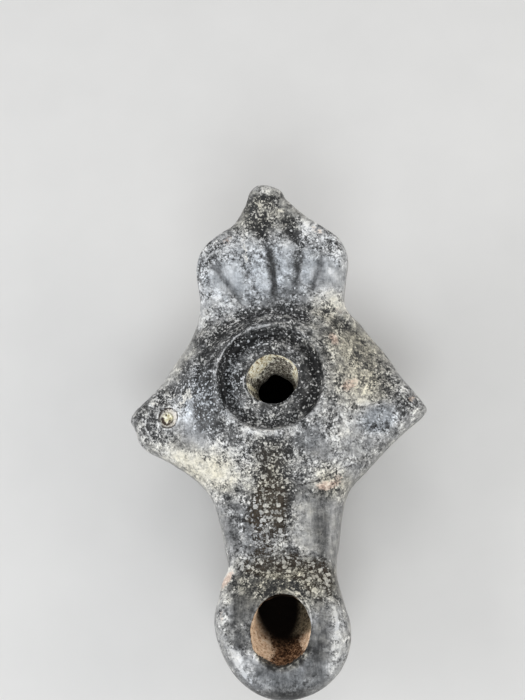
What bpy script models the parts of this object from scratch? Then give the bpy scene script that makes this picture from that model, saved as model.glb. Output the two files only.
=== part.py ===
"""Hellenistic mould-made oil lamp of dark-slipped terracotta, as one hollow fired clay piece.

Run with blender --background --python part.py, or from Blender's text editor.

The lamp is made as its potter made it: an upper and a lower mould half meet along one parting
line, which is the outline seen from above. Each half is a sheet whose height over the plan is a
function of the named sizes, so the shoulder, ring, side lugs, nozzle and palmette handle run into
each other as pressed clay does. The oil reservoir, the nozzle's wick channel and the filling hole
are then cut out of the clay.

Frame: +Z up, +Y from nozzle to handle, origin on the underside below the filling hole.
Sizes are in millimetres and become metres where a mesh is made.
"""

import math

import bmesh
import bpy
import numpy as np
from mathutils import Vector
from mathutils.geometry import delaunay_2d_cdt

MILLIMETRE = 0.001

# ---------------------------------------------------------------- driving dimensions
# Bowl
PARTING_HEIGHT = 18.0  # where the mould halves meet round the bowl
BOWL_RADIUS = 25.0
BOWL_FLARE = 1.5  # power of the wall's curve from the foot up, 1 is a cone
SHOULDER_HEIGHT = 30.0  # top of the bowl at the foot of the ring
SHOULDER_RADIUS = 15.0
SHOULDER_DROP = 8.2  # from there down to the bowl's edge
SHOULDER_CURVE = 1.35  # power of the shoulder's curve
FOOT_RADIUS = 15.2
FOOT_STEP = 1.2

# Sunk discus round the filling hole
RING_RADIUS = 12.9
RING_RISE = 1.15
RING_OUTER_WIDTHS = (0.75, 1.5)  # crisp towards the handle, worn soft towards the nozzle
RING_INNER_WIDTH = 0.6
TROUGH_RADIUS = 11.2
TROUGH_DEPTH = 1.5
TROUGH_WIDTHS = (1.0, 1.9)  # steep on the ring's side, easy on the collar's
COLLAR_RADIUS = 8.2  # low torus between the trough and the hole
COLLAR_RISE = 0.35
COLLAR_WIDTH = 1.4
LIP_DROP = 0.6  # the hole's edge is rounded down by this much
DISCUS_END = (15.0, 17.0)  # radii between which the discus relief dies away
FILLING_HOLE_CENTRE = (0.4, -0.1)
FILLING_HOLE_RADIUS = 6.1
FILLING_THROAT_RADIUS = 4.3
FILLING_THROAT_HEIGHT = 19.0  # lower lip of the clay pushed in by the punch

# Nozzle
NECK_TOP = 24.9
NECK_SWELL = 3.4  # how much the neck rises where it leaves the bowl
NECK_SWELL_LENGTH = 9.0
NECK_HALF_WIDTH = 12.9
NECK_CROWN = 2.0  # fall of its back from the middle to that half width
HEAD_CENTRE_Y = -56.0
HEAD_HALF_WIDTH = 15.0
HEAD_HALF_LENGTH = 16.4
HEAD_SQUARENESS = 2.15  # power of the superellipse, 2 is a plain oval
HEAD_TWIST = 23.5  # degrees from +Y to the long axis: the head was pressed on askew
HEAD_TOP = 25.9
HEAD_FALL = 1.7
HEAD_DISC_Y = -57.6  # centre of the head's gently domed disc
HEAD_EDGE = (14.8, 17.4)  # radii between which the disc runs into the neck
HEAD_VALLEY_RADIUS = 16.1  # where the neck meets the head
HEAD_VALLEY_DEPTH = 1.0
HEAD_VALLEY_WIDTH = 1.6
NOZZLE_TIP_RISE = 2.5  # the parting line climbs this much to the tip
NOZZLE_KEEL = (3.2, 14.5)  # height of the underside below the bowl and below the tip
NOZZLE_KEEL_Y = (-18.0, -70.0)  # where it has those heights
WICK_CENTRE_Y = -56.5
WICK_HALF_WIDTH = 6.8
WICK_HALF_LENGTH = 8.9
WICK_EGG = 0.1  # the hole is wider at the tip than towards the neck
WICK_SKEW = 0.05  # sideways drift of the channel along the neck
WICK_RIM_DROP = 0.35

# Side lugs, each a ridge that runs out to a blunt tip
LUG_AXIS_Y = -5.5
LUG_TOP = 26.4  # height of the ridge at the shoulder radius
LUG_SLOPE = 0.235
LUG_CROWN = 1.4  # fall of the ridge's back to LUG_HALF_WIDTH
LUG_HALF_WIDTH = 11.0
LUG_UNDERSIDE = 15.6
LUG_HOLE_CENTRE = (-25.1, -6.7)  # blind, pierced in the left lug only
LUG_HOLE_RADIUS = 2.35
LUG_HOLE_WALL = 0.5
LUG_HOLE_DEPTH = 2.2

# Handle
HANDLE_START_Y = 16.0
HANDLE_SLOPE = 0.55
HANDLE_FACE = 25.9  # height of the leaf face at HANDLE_START_Y
HANDLE_PARTING = 22.5
HANDLE_THICKNESS = 6.8
HANDLE_KEEL = 5.0  # thickening down the middle of the handle's back
HANDLE_KEEL_X = 1.2
HANDLE_KEEL_WIDTH = 5.5
HANDLE_KEEL_END = (24.0, 42.0)  # the keel thins out between these y
HANDLE_VALLEY_RADIUS = 16.9  # hollow where the handle's foot meets the ring
HANDLE_VALLEY_DEPTH = 1.5
HANDLE_VALLEY_WIDTH = 1.5

# Palmette: leaves fan out from one root on the handle's face.
PALMETTE_ROOT = (4.0, 4.0)
LEAF_EDGES = (-46.0, -34.0, -20.5, -6.0, 9.5, 21.0, 34.0)  # degrees from +Y towards +X
LEAF_LENGTHS = (30.0, 29.4, 28.6, 29.0, 28.6, 29.2)
LEAF_FADE = (15.5, 21.5)  # the grooves run out between these distances from the root
LEAF_RISE = 1.2
EYE_CENTRES = ((-0.2, 35.0), (6.5, 35.0))  # two deep pits either side of the middle rib
EYE_RADII = (2.3, 3.0)
EYE_DEPTH = 1.7

# Softness of the pressed clay where the forms meet
EDGE_ROUNDING = 2.3  # width of the rounded rim along the outline
LUG_BLEND = 2.5
NECK_BLEND = 2.2
HANDLE_BLEND = 1.6
HANDLE_BACK_BLEND = 3.0

# Plan outline at the parting line, from the handle's blunt tip down to the nozzle's neck.
RIGHT_EDGE = (
    (2.4, 44.6), (4.7, 43.4), (5.8, 41.8), (10.2, 38.0), (14.3, 35.4), (17.9, 32.7), (19.6, 28.8),
    (18.7, 23.5), (18.3, 18.8), (22.1, 14.1), (27.1, 7.6), (30.9, 1.4), (35.3, -4.7),
    (36.2, -6.4), (35.3, -8.1), (28.9, -13.3), (21.7, -20.2), (16.9, -25.0), (15.0, -30.0),
    (13.8, -37.5), (12.9, -44.2),
)
LEFT_EDGE = (
    (-0.9, 44.8), (-2.6, 43.6), (-4.0, 41.2), (-7.2, 37.0), (-10.6, 35.4), (-15.2, 32.2), (-17.0, 28.4),
    (-16.8, 20.5), (-18.4, 16.0), (-24.2, 7.7), (-28.5, 1.8), (-34.2, -3.7), (-35.2, -5.6),
    (-33.9, -8.6), (-33.2, -11.2), (-31.2, -13.2), (-26.2, -16.2), (-19.5, -21.0), (-16.1, -25.3),
    (-14.2, -31.0), (-12.9, -38.0), (-12.2, -42.4), (-13.5, -45.3),
)

# Hollow: reservoir profile as (radius, height), and the wick channel's stations as
# (y, height of the axis, half width across x, half size along the bend's radius).
RESERVOIR = (
    (13.0, 6.0), (18.0, 9.2), (20.4, 14.0), (20.4, 18.0), (18.4, 22.0),
    (14.5, 24.4), (11.0, 24.4), (8.6, 22.4), (6.6, 19.0),
)
WICK_CHANNEL = (
    (-12.0, 14.5, 8.5, 6.0), (-26.0, 15.0, 8.4, 5.6), (-38.0, 16.0, 7.4, 4.6),
    (-46.5, 17.2, 6.5, 4.5), (-52.4, 19.4, 6.1, 5.2), (-55.3, 22.8, 6.4, 7.2),
    (-56.5, 26.2, 6.8, 8.9), (-56.6, 31.0, 6.9, 9.1),
)

# Facet sizes
OUTLINE_STEP = 1.9
TOP_RIM_ROWS = (0.45, 1.2, 2.3)
BOTTOM_RIM_ROWS = (0.45, 1.3, 2.4, 4.0)
TOP_STEP = 2.1
LEAF_STEP = 1.15
BOTTOM_STEP = 2.6
RING_SEGMENTS = 56
FOOT_SEGMENTS = 28
PIT_SEGMENTS = 14
HOLLOW_SEGMENTS = 36
CHANNEL_SEGMENTS = 22

SLIP_COLOUR = (0.055, 0.058, 0.062, 1.0)
SLIP_ROUGHNESS = 0.45


# ---------------------------------------------------------------- small shape functions
def smoothstep(low, high, value):
    """0 below low, 1 above high, and a smooth ramp between."""
    ramp = np.clip((value - low) / (high - low), 0.0, 1.0)
    return ramp * ramp * (3.0 - 2.0 * ramp)


def smooth_max(first, second, blend):
    """The larger of two heights, with a fillet about as wide as blend."""
    overlap = np.clip(1.0 - np.abs(first - second) / blend, 0.0, 1.0)
    return np.maximum(first, second) + 0.25 * blend * overlap * overlap


def smooth_min(first, second, blend):
    """The smaller of two heights, with a rounded edge about as wide as blend."""
    return -smooth_max(-first, -second, blend)


def bump(distance, width):
    """A bell of height 1 that falls to 1/e at the given width."""
    return np.exp(-((distance / width) ** 2))


# ---------------------------------------------------------------- plan outline
def head_arc():
    """The nozzle head's edge, a slightly squared oval from the right round to the left."""
    power = 2.0 / HEAD_SQUARENESS
    twist = math.radians(HEAD_TWIST)
    points = []
    for degrees in range(20, -209, -16):
        angle = math.radians(degrees) - twist
        across = HEAD_HALF_WIDTH * math.copysign(abs(math.cos(angle)) ** power, math.cos(angle))
        along = HEAD_HALF_LENGTH * math.copysign(abs(math.sin(angle)) ** power, math.sin(angle))
        points.append((across * math.cos(twist) - along * math.sin(twist),
                       HEAD_CENTRE_Y + across * math.sin(twist) + along * math.cos(twist)))
    return points


def closed_curve(points, step):
    """Centripetal Catmull-Rom curve through points, resampled about every step."""
    points = np.array(points, dtype=float)
    count = len(points)
    dense = []
    for i in range(count):
        p0, p1, p2, p3 = (points[(i + k) % count] for k in (-1, 0, 1, 2))
        t1 = np.linalg.norm(p1 - p0) ** 0.5
        t2 = t1 + np.linalg.norm(p2 - p1) ** 0.5
        t3 = t2 + np.linalg.norm(p3 - p2) ** 0.5
        for t in np.linspace(t1, t2, 24, endpoint=False):
            a1 = p0 * (t1 - t) / t1 + p1 * t / t1
            a2 = p1 * (t2 - t) / (t2 - t1) + p2 * (t - t1) / (t2 - t1)
            a3 = p2 * (t3 - t) / (t3 - t2) + p3 * (t - t2) / (t3 - t2)
            b1 = a1 * (t2 - t) / t2 + a2 * t / t2
            b2 = a2 * (t3 - t) / (t3 - t1) + a3 * (t - t1) / (t3 - t1)
            dense.append(b1 * (t2 - t) / (t2 - t1) + b2 * (t - t1) / (t2 - t1))
    dense = np.array(dense)
    lengths = np.linalg.norm(np.roll(dense, -1, axis=0) - dense, axis=1)
    travelled = np.concatenate(([0.0], np.cumsum(lengths)))
    closed = np.vstack((dense, dense[:1]))
    stops = np.linspace(0.0, travelled[-1], max(8, round(travelled[-1] / step)), endpoint=False)
    return np.column_stack([np.interp(stops, travelled, closed[:, k]) for k in (0, 1)])


def plan_outline(step):
    """The whole outline, clockwise from the handle's tip."""
    return closed_curve(list(RIGHT_EDGE) + head_arc() + list(LEFT_EDGE)[::-1], step)


def edge_distance(points, outline):
    """Distance of each plan point from the outline, negative outside it."""
    points = np.atleast_2d(points)
    start = outline
    along = np.roll(outline, -1, axis=0) - start
    squared = (along ** 2).sum(axis=1)
    nearest = np.full(len(points), np.inf)
    crossings = np.zeros(len(points), dtype=int)
    for origin, edge, length2 in zip(start, along, squared):
        offset = points - origin
        t = np.clip(offset @ edge / length2, 0.0, 1.0)
        nearest = np.minimum(nearest, ((offset - t[:, None] * edge) ** 2).sum(axis=1))
        low, high = sorted((origin[1], origin[1] + edge[1]))
        level = (points[:, 1] >= low) & (points[:, 1] < high)
        if edge[1]:
            reach = origin[0] + offset[:, 1] * edge[0] / edge[1]
            crossings += level & (reach > points[:, 0])
    return np.sqrt(nearest) * np.where(crossings % 2, 1.0, -1.0)


# ---------------------------------------------------------------- heights over the plan
def parting_height(y):
    """Height of the line where the mould halves meet."""
    nozzle = NOZZLE_TIP_RISE * smoothstep(25.0, 72.0, -y)
    handle = HANDLE_PARTING + HANDLE_SLOPE * (y - HANDLE_START_Y)
    return (PARTING_HEIGHT + nozzle) + (handle - PARTING_HEIGHT) * smoothstep(9.0, 22.0, y)


def discus_profile(x, y):
    """Ring, trough and collar round the filling hole, as height above the shoulder."""
    radius = np.hypot(x, y)
    crisp, worn = RING_OUTER_WIDTHS
    outer_width = crisp + (worn - crisp) * smoothstep(-8.0, 8.0, 0.5 * x - y)
    width = np.where(radius > RING_RADIUS, outer_width, RING_INNER_WIDTH)
    ring = RING_RISE * bump(radius - RING_RADIUS, width)
    trough_width = np.where(radius > TROUGH_RADIUS, *TROUGH_WIDTHS)
    trough = TROUGH_DEPTH * bump(radius - TROUGH_RADIUS, trough_width)
    collar = COLLAR_RISE * bump(radius - COLLAR_RADIUS, COLLAR_WIDTH)
    from_hole = np.hypot(x - FILLING_HOLE_CENTRE[0], y - FILLING_HOLE_CENTRE[1])
    lip = LIP_DROP * bump(from_hole - FILLING_HOLE_RADIUS, LIP_DROP)
    return (ring - trough + collar - lip) * (1.0 - smoothstep(*DISCUS_END, radius))


def bowl_top(radius):
    """Convex shoulder from the ring out to the bowl's edge."""
    out = np.maximum(radius - SHOULDER_RADIUS, 0.0) / (BOWL_RADIUS - SHOULDER_RADIUS)
    return SHOULDER_HEIGHT - SHOULDER_DROP * out ** SHOULDER_CURVE


def lug_top(x, y):
    """Ridge that runs level-backed out to each lug's tip."""
    ridge = LUG_TOP - LUG_SLOPE * (np.abs(x) - SHOULDER_RADIUS)
    return ridge - LUG_CROWN * ((y - LUG_AXIS_Y) / LUG_HALF_WIDTH) ** 2


def nozzle_top(x, y):
    """Rounded back of the neck, a shallow valley, and the disc round the wick hole."""
    neck = NECK_TOP + NECK_SWELL * np.exp(np.minimum(0.0, (y + SHOULDER_RADIUS) / NECK_SWELL_LENGTH))
    neck = neck - NECK_CROWN * (x / NECK_HALF_WIDTH) ** 2
    neck = neck - 1.2 * np.maximum(0.0, y + 12.0)  # sinks out of sight inside the bowl
    radius = np.hypot(x, y - HEAD_DISC_Y)
    disc = HEAD_TOP - HEAD_FALL * (radius / HEAD_HALF_WIDTH) ** 2
    on_disc = 1.0 - smoothstep(*HEAD_EDGE, radius)
    valley = HEAD_VALLEY_DEPTH * bump(radius - HEAD_VALLEY_RADIUS, HEAD_VALLEY_WIDTH)
    valley = valley * smoothstep(-53.0, -46.5, y)
    rim = WICK_RIM_DROP * bump(wick_reach(x, y) - 1.0, 0.12)
    return neck + (disc - neck) * on_disc - valley - rim


def wick_reach(x, y):
    """0 at the wick hole's centre, 1 along its edge."""
    return np.hypot(x / WICK_HALF_WIDTH, (y - WICK_CENTRE_Y) / WICK_HALF_LENGTH)


def palmette(x, y):
    """Leaf lobes fanning out from the root, with the two pits at the middle leaf's head."""
    across, along = x - PALMETTE_ROOT[0], y - PALMETTE_ROOT[1]
    reach = np.hypot(across, along)
    angle = np.degrees(np.arctan2(across, along))
    relief = np.zeros_like(reach)
    for left, right, length in zip(LEAF_EDGES, LEAF_EDGES[1:], LEAF_LENGTHS):
        half_width = math.radians(0.5 * (right - left)) * length
        side = (2.0 * angle - left - right) / (right - left)
        end = np.maximum(0.0, reach - length + half_width) / half_width
        relief = np.maximum(relief, np.sqrt(np.clip(1.0 - side ** 2 - end ** 2, 0.0, 1.0)))
    relief = LEAF_RISE * relief * smoothstep(*LEAF_FADE, reach)
    for eye_x, eye_y in EYE_CENTRES:
        eye = np.hypot((x - eye_x) / EYE_RADII[0], (y - eye_y) / EYE_RADII[1])
        relief = relief - EYE_DEPTH * bump(eye, 0.8)
    return relief


def handle_top(x, y):
    """Sloping leaf-shaped face of the handle."""
    face = HANDLE_FACE + HANDLE_SLOPE * (y - HANDLE_START_Y)
    return face + palmette(x, y)


def top_surface(x, y):
    """Upper mould half before its edge is rounded over."""
    radius = np.hypot(x, y)
    height = smooth_max(bowl_top(radius), lug_top(x, y), LUG_BLEND)
    height = smooth_max(height, nozzle_top(x, y), NECK_BLEND)
    height = smooth_max(height, handle_top(x, y), HANDLE_BLEND)
    behind_ring = smoothstep(3.0, 12.0, y - 0.35 * x)
    valley = HANDLE_VALLEY_DEPTH * bump(radius - HANDLE_VALLEY_RADIUS, HANDLE_VALLEY_WIDTH)
    height = height + discus_profile(x, y) - valley * behind_ring
    from_pit = np.hypot(x - LUG_HOLE_CENTRE[0], y - LUG_HOLE_CENTRE[1])
    in_pit = 1.0 - smoothstep(LUG_HOLE_RADIUS - LUG_HOLE_WALL, LUG_HOLE_RADIUS, from_pit)
    return height - LUG_HOLE_DEPTH * in_pit


def bowl_underside(x, y):
    """Flat foot and the wall that flares up from it."""
    out = np.maximum(np.hypot(x, y) - FOOT_RADIUS, 0.0) / (BOWL_RADIUS - FOOT_RADIUS)
    wall = (PARTING_HEIGHT - FOOT_STEP) * out ** BOWL_FLARE
    return FOOT_STEP * smoothstep(0.0, 0.05, out) + wall


def nozzle_underside(x, y):
    """Half-round hull that climbs from the bowl to the tip."""
    near_y, tip_y = NOZZLE_KEEL_Y
    near, tip = NOZZLE_KEEL
    along = np.clip((near_y - y) / (near_y - tip_y), 0.0, 1.0)
    keel = near + (tip - near) * along ** 1.25
    keel = keel + 1.6 * np.maximum(0.0, y - near_y)  # rises out of sight inside the bowl
    section = np.sqrt(np.clip(1.0 - (x / (HEAD_HALF_WIDTH + 1.0)) ** 2, 0.0, 1.0))
    return parting_height(y) + (keel - parting_height(y)) * section


def handle_back(x, y):
    """Back of the handle, thickest down its middle where it springs from the bowl."""
    back = HANDLE_FACE + HANDLE_SLOPE * (y - HANDLE_START_Y) - HANDLE_THICKNESS
    thinning = 1.0 - smoothstep(*HANDLE_KEEL_END, y)
    back = back - HANDLE_KEEL * bump(x - HANDLE_KEEL_X, HANDLE_KEEL_WIDTH) * thinning
    return back + 3.0 * np.maximum(0.0, HANDLE_START_Y - y)  # rises out of sight inside the bowl


def bottom_surface(x, y):
    """Lower mould half before its edge is rounded over."""
    lug = LUG_UNDERSIDE + 0.02 * (y - LUG_AXIS_Y) ** 2
    height = smooth_min(bowl_underside(x, y), nozzle_underside(x, y), NECK_BLEND)
    height = smooth_min(height, lug, LUG_BLEND)
    return smooth_min(height, handle_back(x, y), HANDLE_BACK_BLEND)


def rounded_to_edge(height, y, distance):
    """Bring a sheet to the parting line along a quarter-round rim."""
    parting = parting_height(y)
    inward = np.clip(distance / EDGE_ROUNDING, 0.0, 1.0)
    inward = np.where(inward < 1e-4, 0.0, inward)
    return parting + (height - parting) * np.sqrt(1.0 - (1.0 - inward) ** 2)


# ---------------------------------------------------------------- plan mesh
def oval(centre, half_width, half_length, segments):
    angles = np.linspace(0.0, 2.0 * math.pi, segments, endpoint=False)
    across = half_width * np.cos(angles)
    along = half_length * np.sin(angles)
    return np.array(centre) + np.column_stack((across, along))


def circle(centre, radius, segments):
    return oval(centre, radius, radius, segments)


def rim_points(outline, offset, spacing):
    """Points a set distance inside the outline, none nearer to it than that."""
    ahead = np.roll(outline, -1, axis=0) - np.roll(outline, 1, axis=0)
    inward = np.column_stack((ahead[:, 1], -ahead[:, 0])) / np.linalg.norm(ahead, axis=1)[:, None]
    moved = outline + inward * offset
    moved = moved[edge_distance(moved, outline) > 0.93 * offset]
    kept = [moved[0]]
    for point in moved[1:]:
        gap = min(np.linalg.norm(point - kept[-1]), np.linalg.norm(point - kept[0]))
        if gap > 0.55 * spacing:
            kept.append(point)
    return np.array(kept)


def filled_grid(step, low, high):
    """Rows of points on equilateral triangles over a rectangle."""
    row_height = step * math.sqrt(0.75)
    rows = []
    for row, y in enumerate(np.arange(low[1], high[1], row_height)):
        xs = np.arange(low[0] + (row % 2) * step / 2.0, high[0], step)
        rows.append(np.column_stack((xs, np.full(len(xs), y))))
    return np.vstack(rows)


def clear_of(points, others, gap):
    """The points that keep a gap to all the others."""
    nearest = np.full(len(points), np.inf)
    for other in others:
        nearest = np.minimum(nearest, ((points - other) ** 2).sum(axis=1))
    return points[nearest > gap * gap]


def plan_mesh(outline, rim_rows, loops, areas, rows=()):
    """Triangles over the outline that follow the loops.

    Rows are further points where the surface bends; areas are (step, where) and fill the rest.
    """
    points, edges = [], []
    for loop in [outline] + loops:
        first = sum(len(p) for p in points)
        points.append(loop)
        edges += [(first + i, first + (i + 1) % len(loop)) for i in range(len(loop))]
    spacing = np.linalg.norm(outline[1] - outline[0])
    for offset in rim_rows:
        points.append(clear_of(rim_points(outline, offset, spacing), np.vstack(loops), 0.5 * spacing))
    for row in rows:
        row = row[edge_distance(row, outline) > rim_rows[-1] + 0.4 * spacing]
        points.append(row)
    for step, where in areas:
        grid = filled_grid(step, outline.min(axis=0), outline.max(axis=0))
        grid = grid[where(grid[:, 0], grid[:, 1])]
        grid = grid[edge_distance(grid, outline) > rim_rows[-1] + 0.6 * step]
        points.append(clear_of(grid, np.vstack(points[1:]), 0.6 * step))
    flat = [Vector(p) for p in np.vstack(points)]
    verts, _, faces, *_ = delaunay_2d_cdt(flat, edges, [], 0, 1e-6, False)
    plan = np.array([tuple(v) for v in verts])
    inside = edge_distance(plan[np.array(faces)].mean(axis=1), outline) > 0.0
    return plan, [face for face, kept in zip(faces, inside) if kept]


def on_leaf(x, y):
    """True over the part of the handle that carries the leaves."""
    return y > HANDLE_START_Y + 3.0


def top_sheet(outline):
    """Plan of the upper mould half, with points along every ring, rim and valley."""
    radii = (HANDLE_VALLEY_RADIUS, SHOULDER_RADIUS, RING_RADIUS + 0.9, RING_RADIUS, RING_RADIUS - 0.7,
             TROUGH_RADIUS + 0.3, TROUGH_RADIUS - TROUGH_WIDTHS[0], COLLAR_RADIUS,
             FILLING_HOLE_RADIUS + LIP_DROP)
    loops = [circle((0.0, 0.0), radius, RING_SEGMENTS) for radius in radii]
    loops += [circle(LUG_HOLE_CENTRE, radius, PIT_SEGMENTS)
              for radius in (LUG_HOLE_RADIUS - LUG_HOLE_WALL, LUG_HOLE_RADIUS)]
    loops.append(oval((0.0, WICK_CENTRE_Y), 1.16 * WICK_HALF_WIDTH, 1.12 * WICK_HALF_LENGTH,
                      CHANNEL_SEGMENTS))
    valley_rows = []
    for offset in (-HEAD_VALLEY_WIDTH, 0.0, HEAD_VALLEY_WIDTH):
        row = circle((0.0, HEAD_DISC_Y), HEAD_VALLEY_RADIUS + offset, RING_SEGMENTS)
        valley_rows.append(row[row[:, 1] > HEAD_DISC_Y + 0.5 * HEAD_VALLEY_RADIUS])

    def on_body(x, y):
        outside_ring = np.hypot(x, y) > HANDLE_VALLEY_RADIUS
        return ~on_leaf(x, y) & outside_ring & (wick_reach(x, y) > 1.0)

    areas = [(LEAF_STEP, on_leaf), (TOP_STEP, on_body)]
    return plan_mesh(outline, TOP_RIM_ROWS, loops, areas, valley_rows)


def bottom_sheet(outline):
    """Plan of the lower mould half, with points round the foot."""
    loops = [circle((0.0, 0.0), radius, FOOT_SEGMENTS) for radius in (FOOT_RADIUS, FOOT_RADIUS + 0.5)]

    def beyond_foot(x, y):
        return np.hypot(x, y) > FOOT_RADIUS

    return plan_mesh(outline, BOTTOM_RIM_ROWS, loops, [(BOTTOM_STEP, beyond_foot)])


def clay_mesh():
    """Both mould halves welded along the parting line."""
    outline = plan_outline(OUTLINE_STEP)
    shape = bmesh.new()
    for sheet, surface, flip in ((top_sheet, top_surface, False), (bottom_sheet, bottom_surface, True)):
        plan, faces = sheet(outline)
        x, y = plan[:, 0], plan[:, 1]
        z = rounded_to_edge(surface(x, y), y, np.abs(edge_distance(plan, outline)))
        verts = [shape.verts.new(Vector(p) * MILLIMETRE) for p in zip(x, y, z)]
        for face in faces:
            shape.faces.new([verts[i] for i in (reversed(face) if flip else face)])
    bmesh.ops.remove_doubles(shape, verts=shape.verts, dist=1e-7)
    bmesh.ops.recalc_face_normals(shape, faces=shape.faces)
    return finished(shape, "clay")


# ---------------------------------------------------------------- hollow
def tube_mesh(rings, name):
    """Closed tube through rings of points, with a flat cap on each end."""
    shape = bmesh.new()
    loops = [[shape.verts.new(Vector(p) * MILLIMETRE) for p in ring] for ring in rings]
    count = len(loops[0])
    for lower, upper in zip(loops, loops[1:]):
        for i in range(count):
            j = (i + 1) % count
            shape.faces.new((lower[i], lower[j], upper[j], upper[i]))
    shape.faces.new(reversed(loops[0]))
    shape.faces.new(loops[-1])
    bmesh.ops.recalc_face_normals(shape, faces=shape.faces)
    return finished(shape, name)


def turned_rings(profile, centre=(0.0, 0.0)):
    """Rings of a shape turned about an upright axis, flat across both ends."""
    angles = np.linspace(0.0, 2.0 * math.pi, HOLLOW_SEGMENTS, endpoint=False)
    return [[(centre[0] + r * math.cos(a), centre[1] + r * math.sin(a), z) for a in angles]
            for r, z in profile]


def wick_channel_rings():
    """Oval sections square to the channel's axis as it bends up into the wick hole."""
    axis = np.array([(y, z) for y, z, _, _ in WICK_CHANNEL])
    heading = np.gradient(axis, axis=0)
    heading /= np.linalg.norm(heading, axis=1)[:, None]
    rings = []
    for (y, z, wide, deep), (ahead_y, ahead_z) in zip(WICK_CHANNEL, heading):
        ring = []
        for angle in np.linspace(0.0, 2.0 * math.pi, CHANNEL_SEGMENTS, endpoint=False):
            lift = deep * math.sin(angle)
            along = y - lift * ahead_z
            across = wide * math.cos(angle) * (1.0 + WICK_EGG * math.sin(angle))
            ring.append((across + WICK_SKEW * (along - WICK_CENTRE_Y), along, z + lift * ahead_y))
        rings.append(ring)
    return rings


def cutter(mesh, name):
    """A shape that only cuts: drawn as wire and left out of renders."""
    tool = bpy.data.objects.new(name, mesh)
    bpy.context.scene.collection.objects.link(tool)
    tool.display_type = "WIRE"
    tool.hide_render = True
    return tool


def finished(shape, name):
    """Mesh data from an edited shape, which is freed."""
    mesh = bpy.data.meshes.new(name)
    shape.to_mesh(mesh)
    shape.free()
    return mesh


# ---------------------------------------------------------------- material and assembly
def slip_material():
    """Dark semi-gloss slip over the fired clay."""
    material = bpy.data.materials.new("dark_slip")
    material.use_nodes = True
    shader = material.node_tree.nodes["Principled BSDF"]
    shader.inputs["Base Color"].default_value = SLIP_COLOUR
    shader.inputs["Roughness"].default_value = SLIP_ROUGHNESS
    shader.inputs["Metallic"].default_value = 0.0
    return material


def main():
    """Clear the scene, then press the clay and cut it hollow."""
    for old in list(bpy.data.objects):
        bpy.data.objects.remove(old, do_unlink=True)

    lamp = bpy.data.objects.new("lamp_body", clay_mesh())
    bpy.context.scene.collection.objects.link(lamp)
    lamp.data.materials.append(slip_material())
    lamp.data.shade_smooth()
    lamp.data.set_sharp_from_angle(angle=math.radians(50.0))

    funnel = ((FILLING_THROAT_RADIUS, FILLING_THROAT_HEIGHT - 2.0),
              (FILLING_THROAT_RADIUS, FILLING_THROAT_HEIGHT + 1.0),
              (FILLING_HOLE_RADIUS, SHOULDER_HEIGHT - 1.0),
              (FILLING_HOLE_RADIUS, SHOULDER_HEIGHT + 3.0))
    hollows = (("reservoir", turned_rings(RESERVOIR)),
               ("wick_channel", wick_channel_rings()),
               ("filling_hole", turned_rings(funnel, FILLING_HOLE_CENTRE)))
    for name, rings in hollows:
        cut = lamp.modifiers.new(name, "BOOLEAN")
        cut.operation = "DIFFERENCE"
        cut.solver = "EXACT"
        cut.object = cutter(tube_mesh(rings, name), name + "_cutter")


main()
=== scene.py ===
"""Look of the terracotta oil lamp: worn dark slip over fired clay, on a pale floor.

The clay is made again with the same height functions as the part's source, at a fine step, and
then gets what the years did to it: an uneven surface, chipped lips, a broken lug, a crack, and
earth in the lug's hole. Masks computed from those same forms tell the material where slip is
worn, where lime and earth lie, and where bare clay shows. Some of them also paint light and
shade into its colour: shade in hollows, grooves, the discus trough and deep in the holes,
highlights on the discus ring and the nozzle head's edges, and a sheen on the leaves.

Work is in millimetres, +Z up and +Y from the nozzle to the handle, and meshes are in metres.
"""

import math

import bmesh
import bpy
import numpy as np
from mathutils import Matrix, Vector
from mathutils.geometry import delaunay_2d_cdt


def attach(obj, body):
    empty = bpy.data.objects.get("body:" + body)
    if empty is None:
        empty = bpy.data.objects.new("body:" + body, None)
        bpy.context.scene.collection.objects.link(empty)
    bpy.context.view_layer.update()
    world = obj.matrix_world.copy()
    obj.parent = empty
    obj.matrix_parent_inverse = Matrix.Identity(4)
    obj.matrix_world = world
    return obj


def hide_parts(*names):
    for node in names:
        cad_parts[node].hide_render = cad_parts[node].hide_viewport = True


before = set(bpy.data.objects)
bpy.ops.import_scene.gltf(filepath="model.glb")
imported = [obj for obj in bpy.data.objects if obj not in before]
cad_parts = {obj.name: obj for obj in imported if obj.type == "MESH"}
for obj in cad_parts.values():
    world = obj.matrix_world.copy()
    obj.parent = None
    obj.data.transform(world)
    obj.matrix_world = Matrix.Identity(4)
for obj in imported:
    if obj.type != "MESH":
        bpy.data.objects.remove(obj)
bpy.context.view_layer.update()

MILLIMETRE = 0.001

# ---------------- the part's own dimensions
# Bowl
PARTING_HEIGHT = 18.0
BOWL_RADIUS = 25.0
BOWL_FLARE = 1.5
SHOULDER_HEIGHT = 30.0
SHOULDER_RADIUS = 15.0
SHOULDER_DROP = 8.2
SHOULDER_CURVE = 1.35
FOOT_RADIUS = 15.2
FOOT_STEP = 1.2

# Sunk discus round the filling hole
RING_RADIUS = 12.9
RING_RISE = 1.15
RING_OUTER_WIDTHS = (0.75, 1.5)
RING_INNER_WIDTH = 0.6
TROUGH_RADIUS = 11.2
TROUGH_DEPTH = 1.5
TROUGH_WIDTHS = (1.0, 1.9)
COLLAR_RADIUS = 8.2
COLLAR_RISE = 0.35
COLLAR_WIDTH = 1.4
LIP_DROP = 0.6
DISCUS_END = (15.0, 17.0)
FILLING_HOLE_CENTRE = (0.4, -0.1)
FILLING_HOLE_RADIUS = 6.1
FILLING_THROAT_RADIUS = 4.3
FILLING_THROAT_HEIGHT = 19.0

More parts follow.
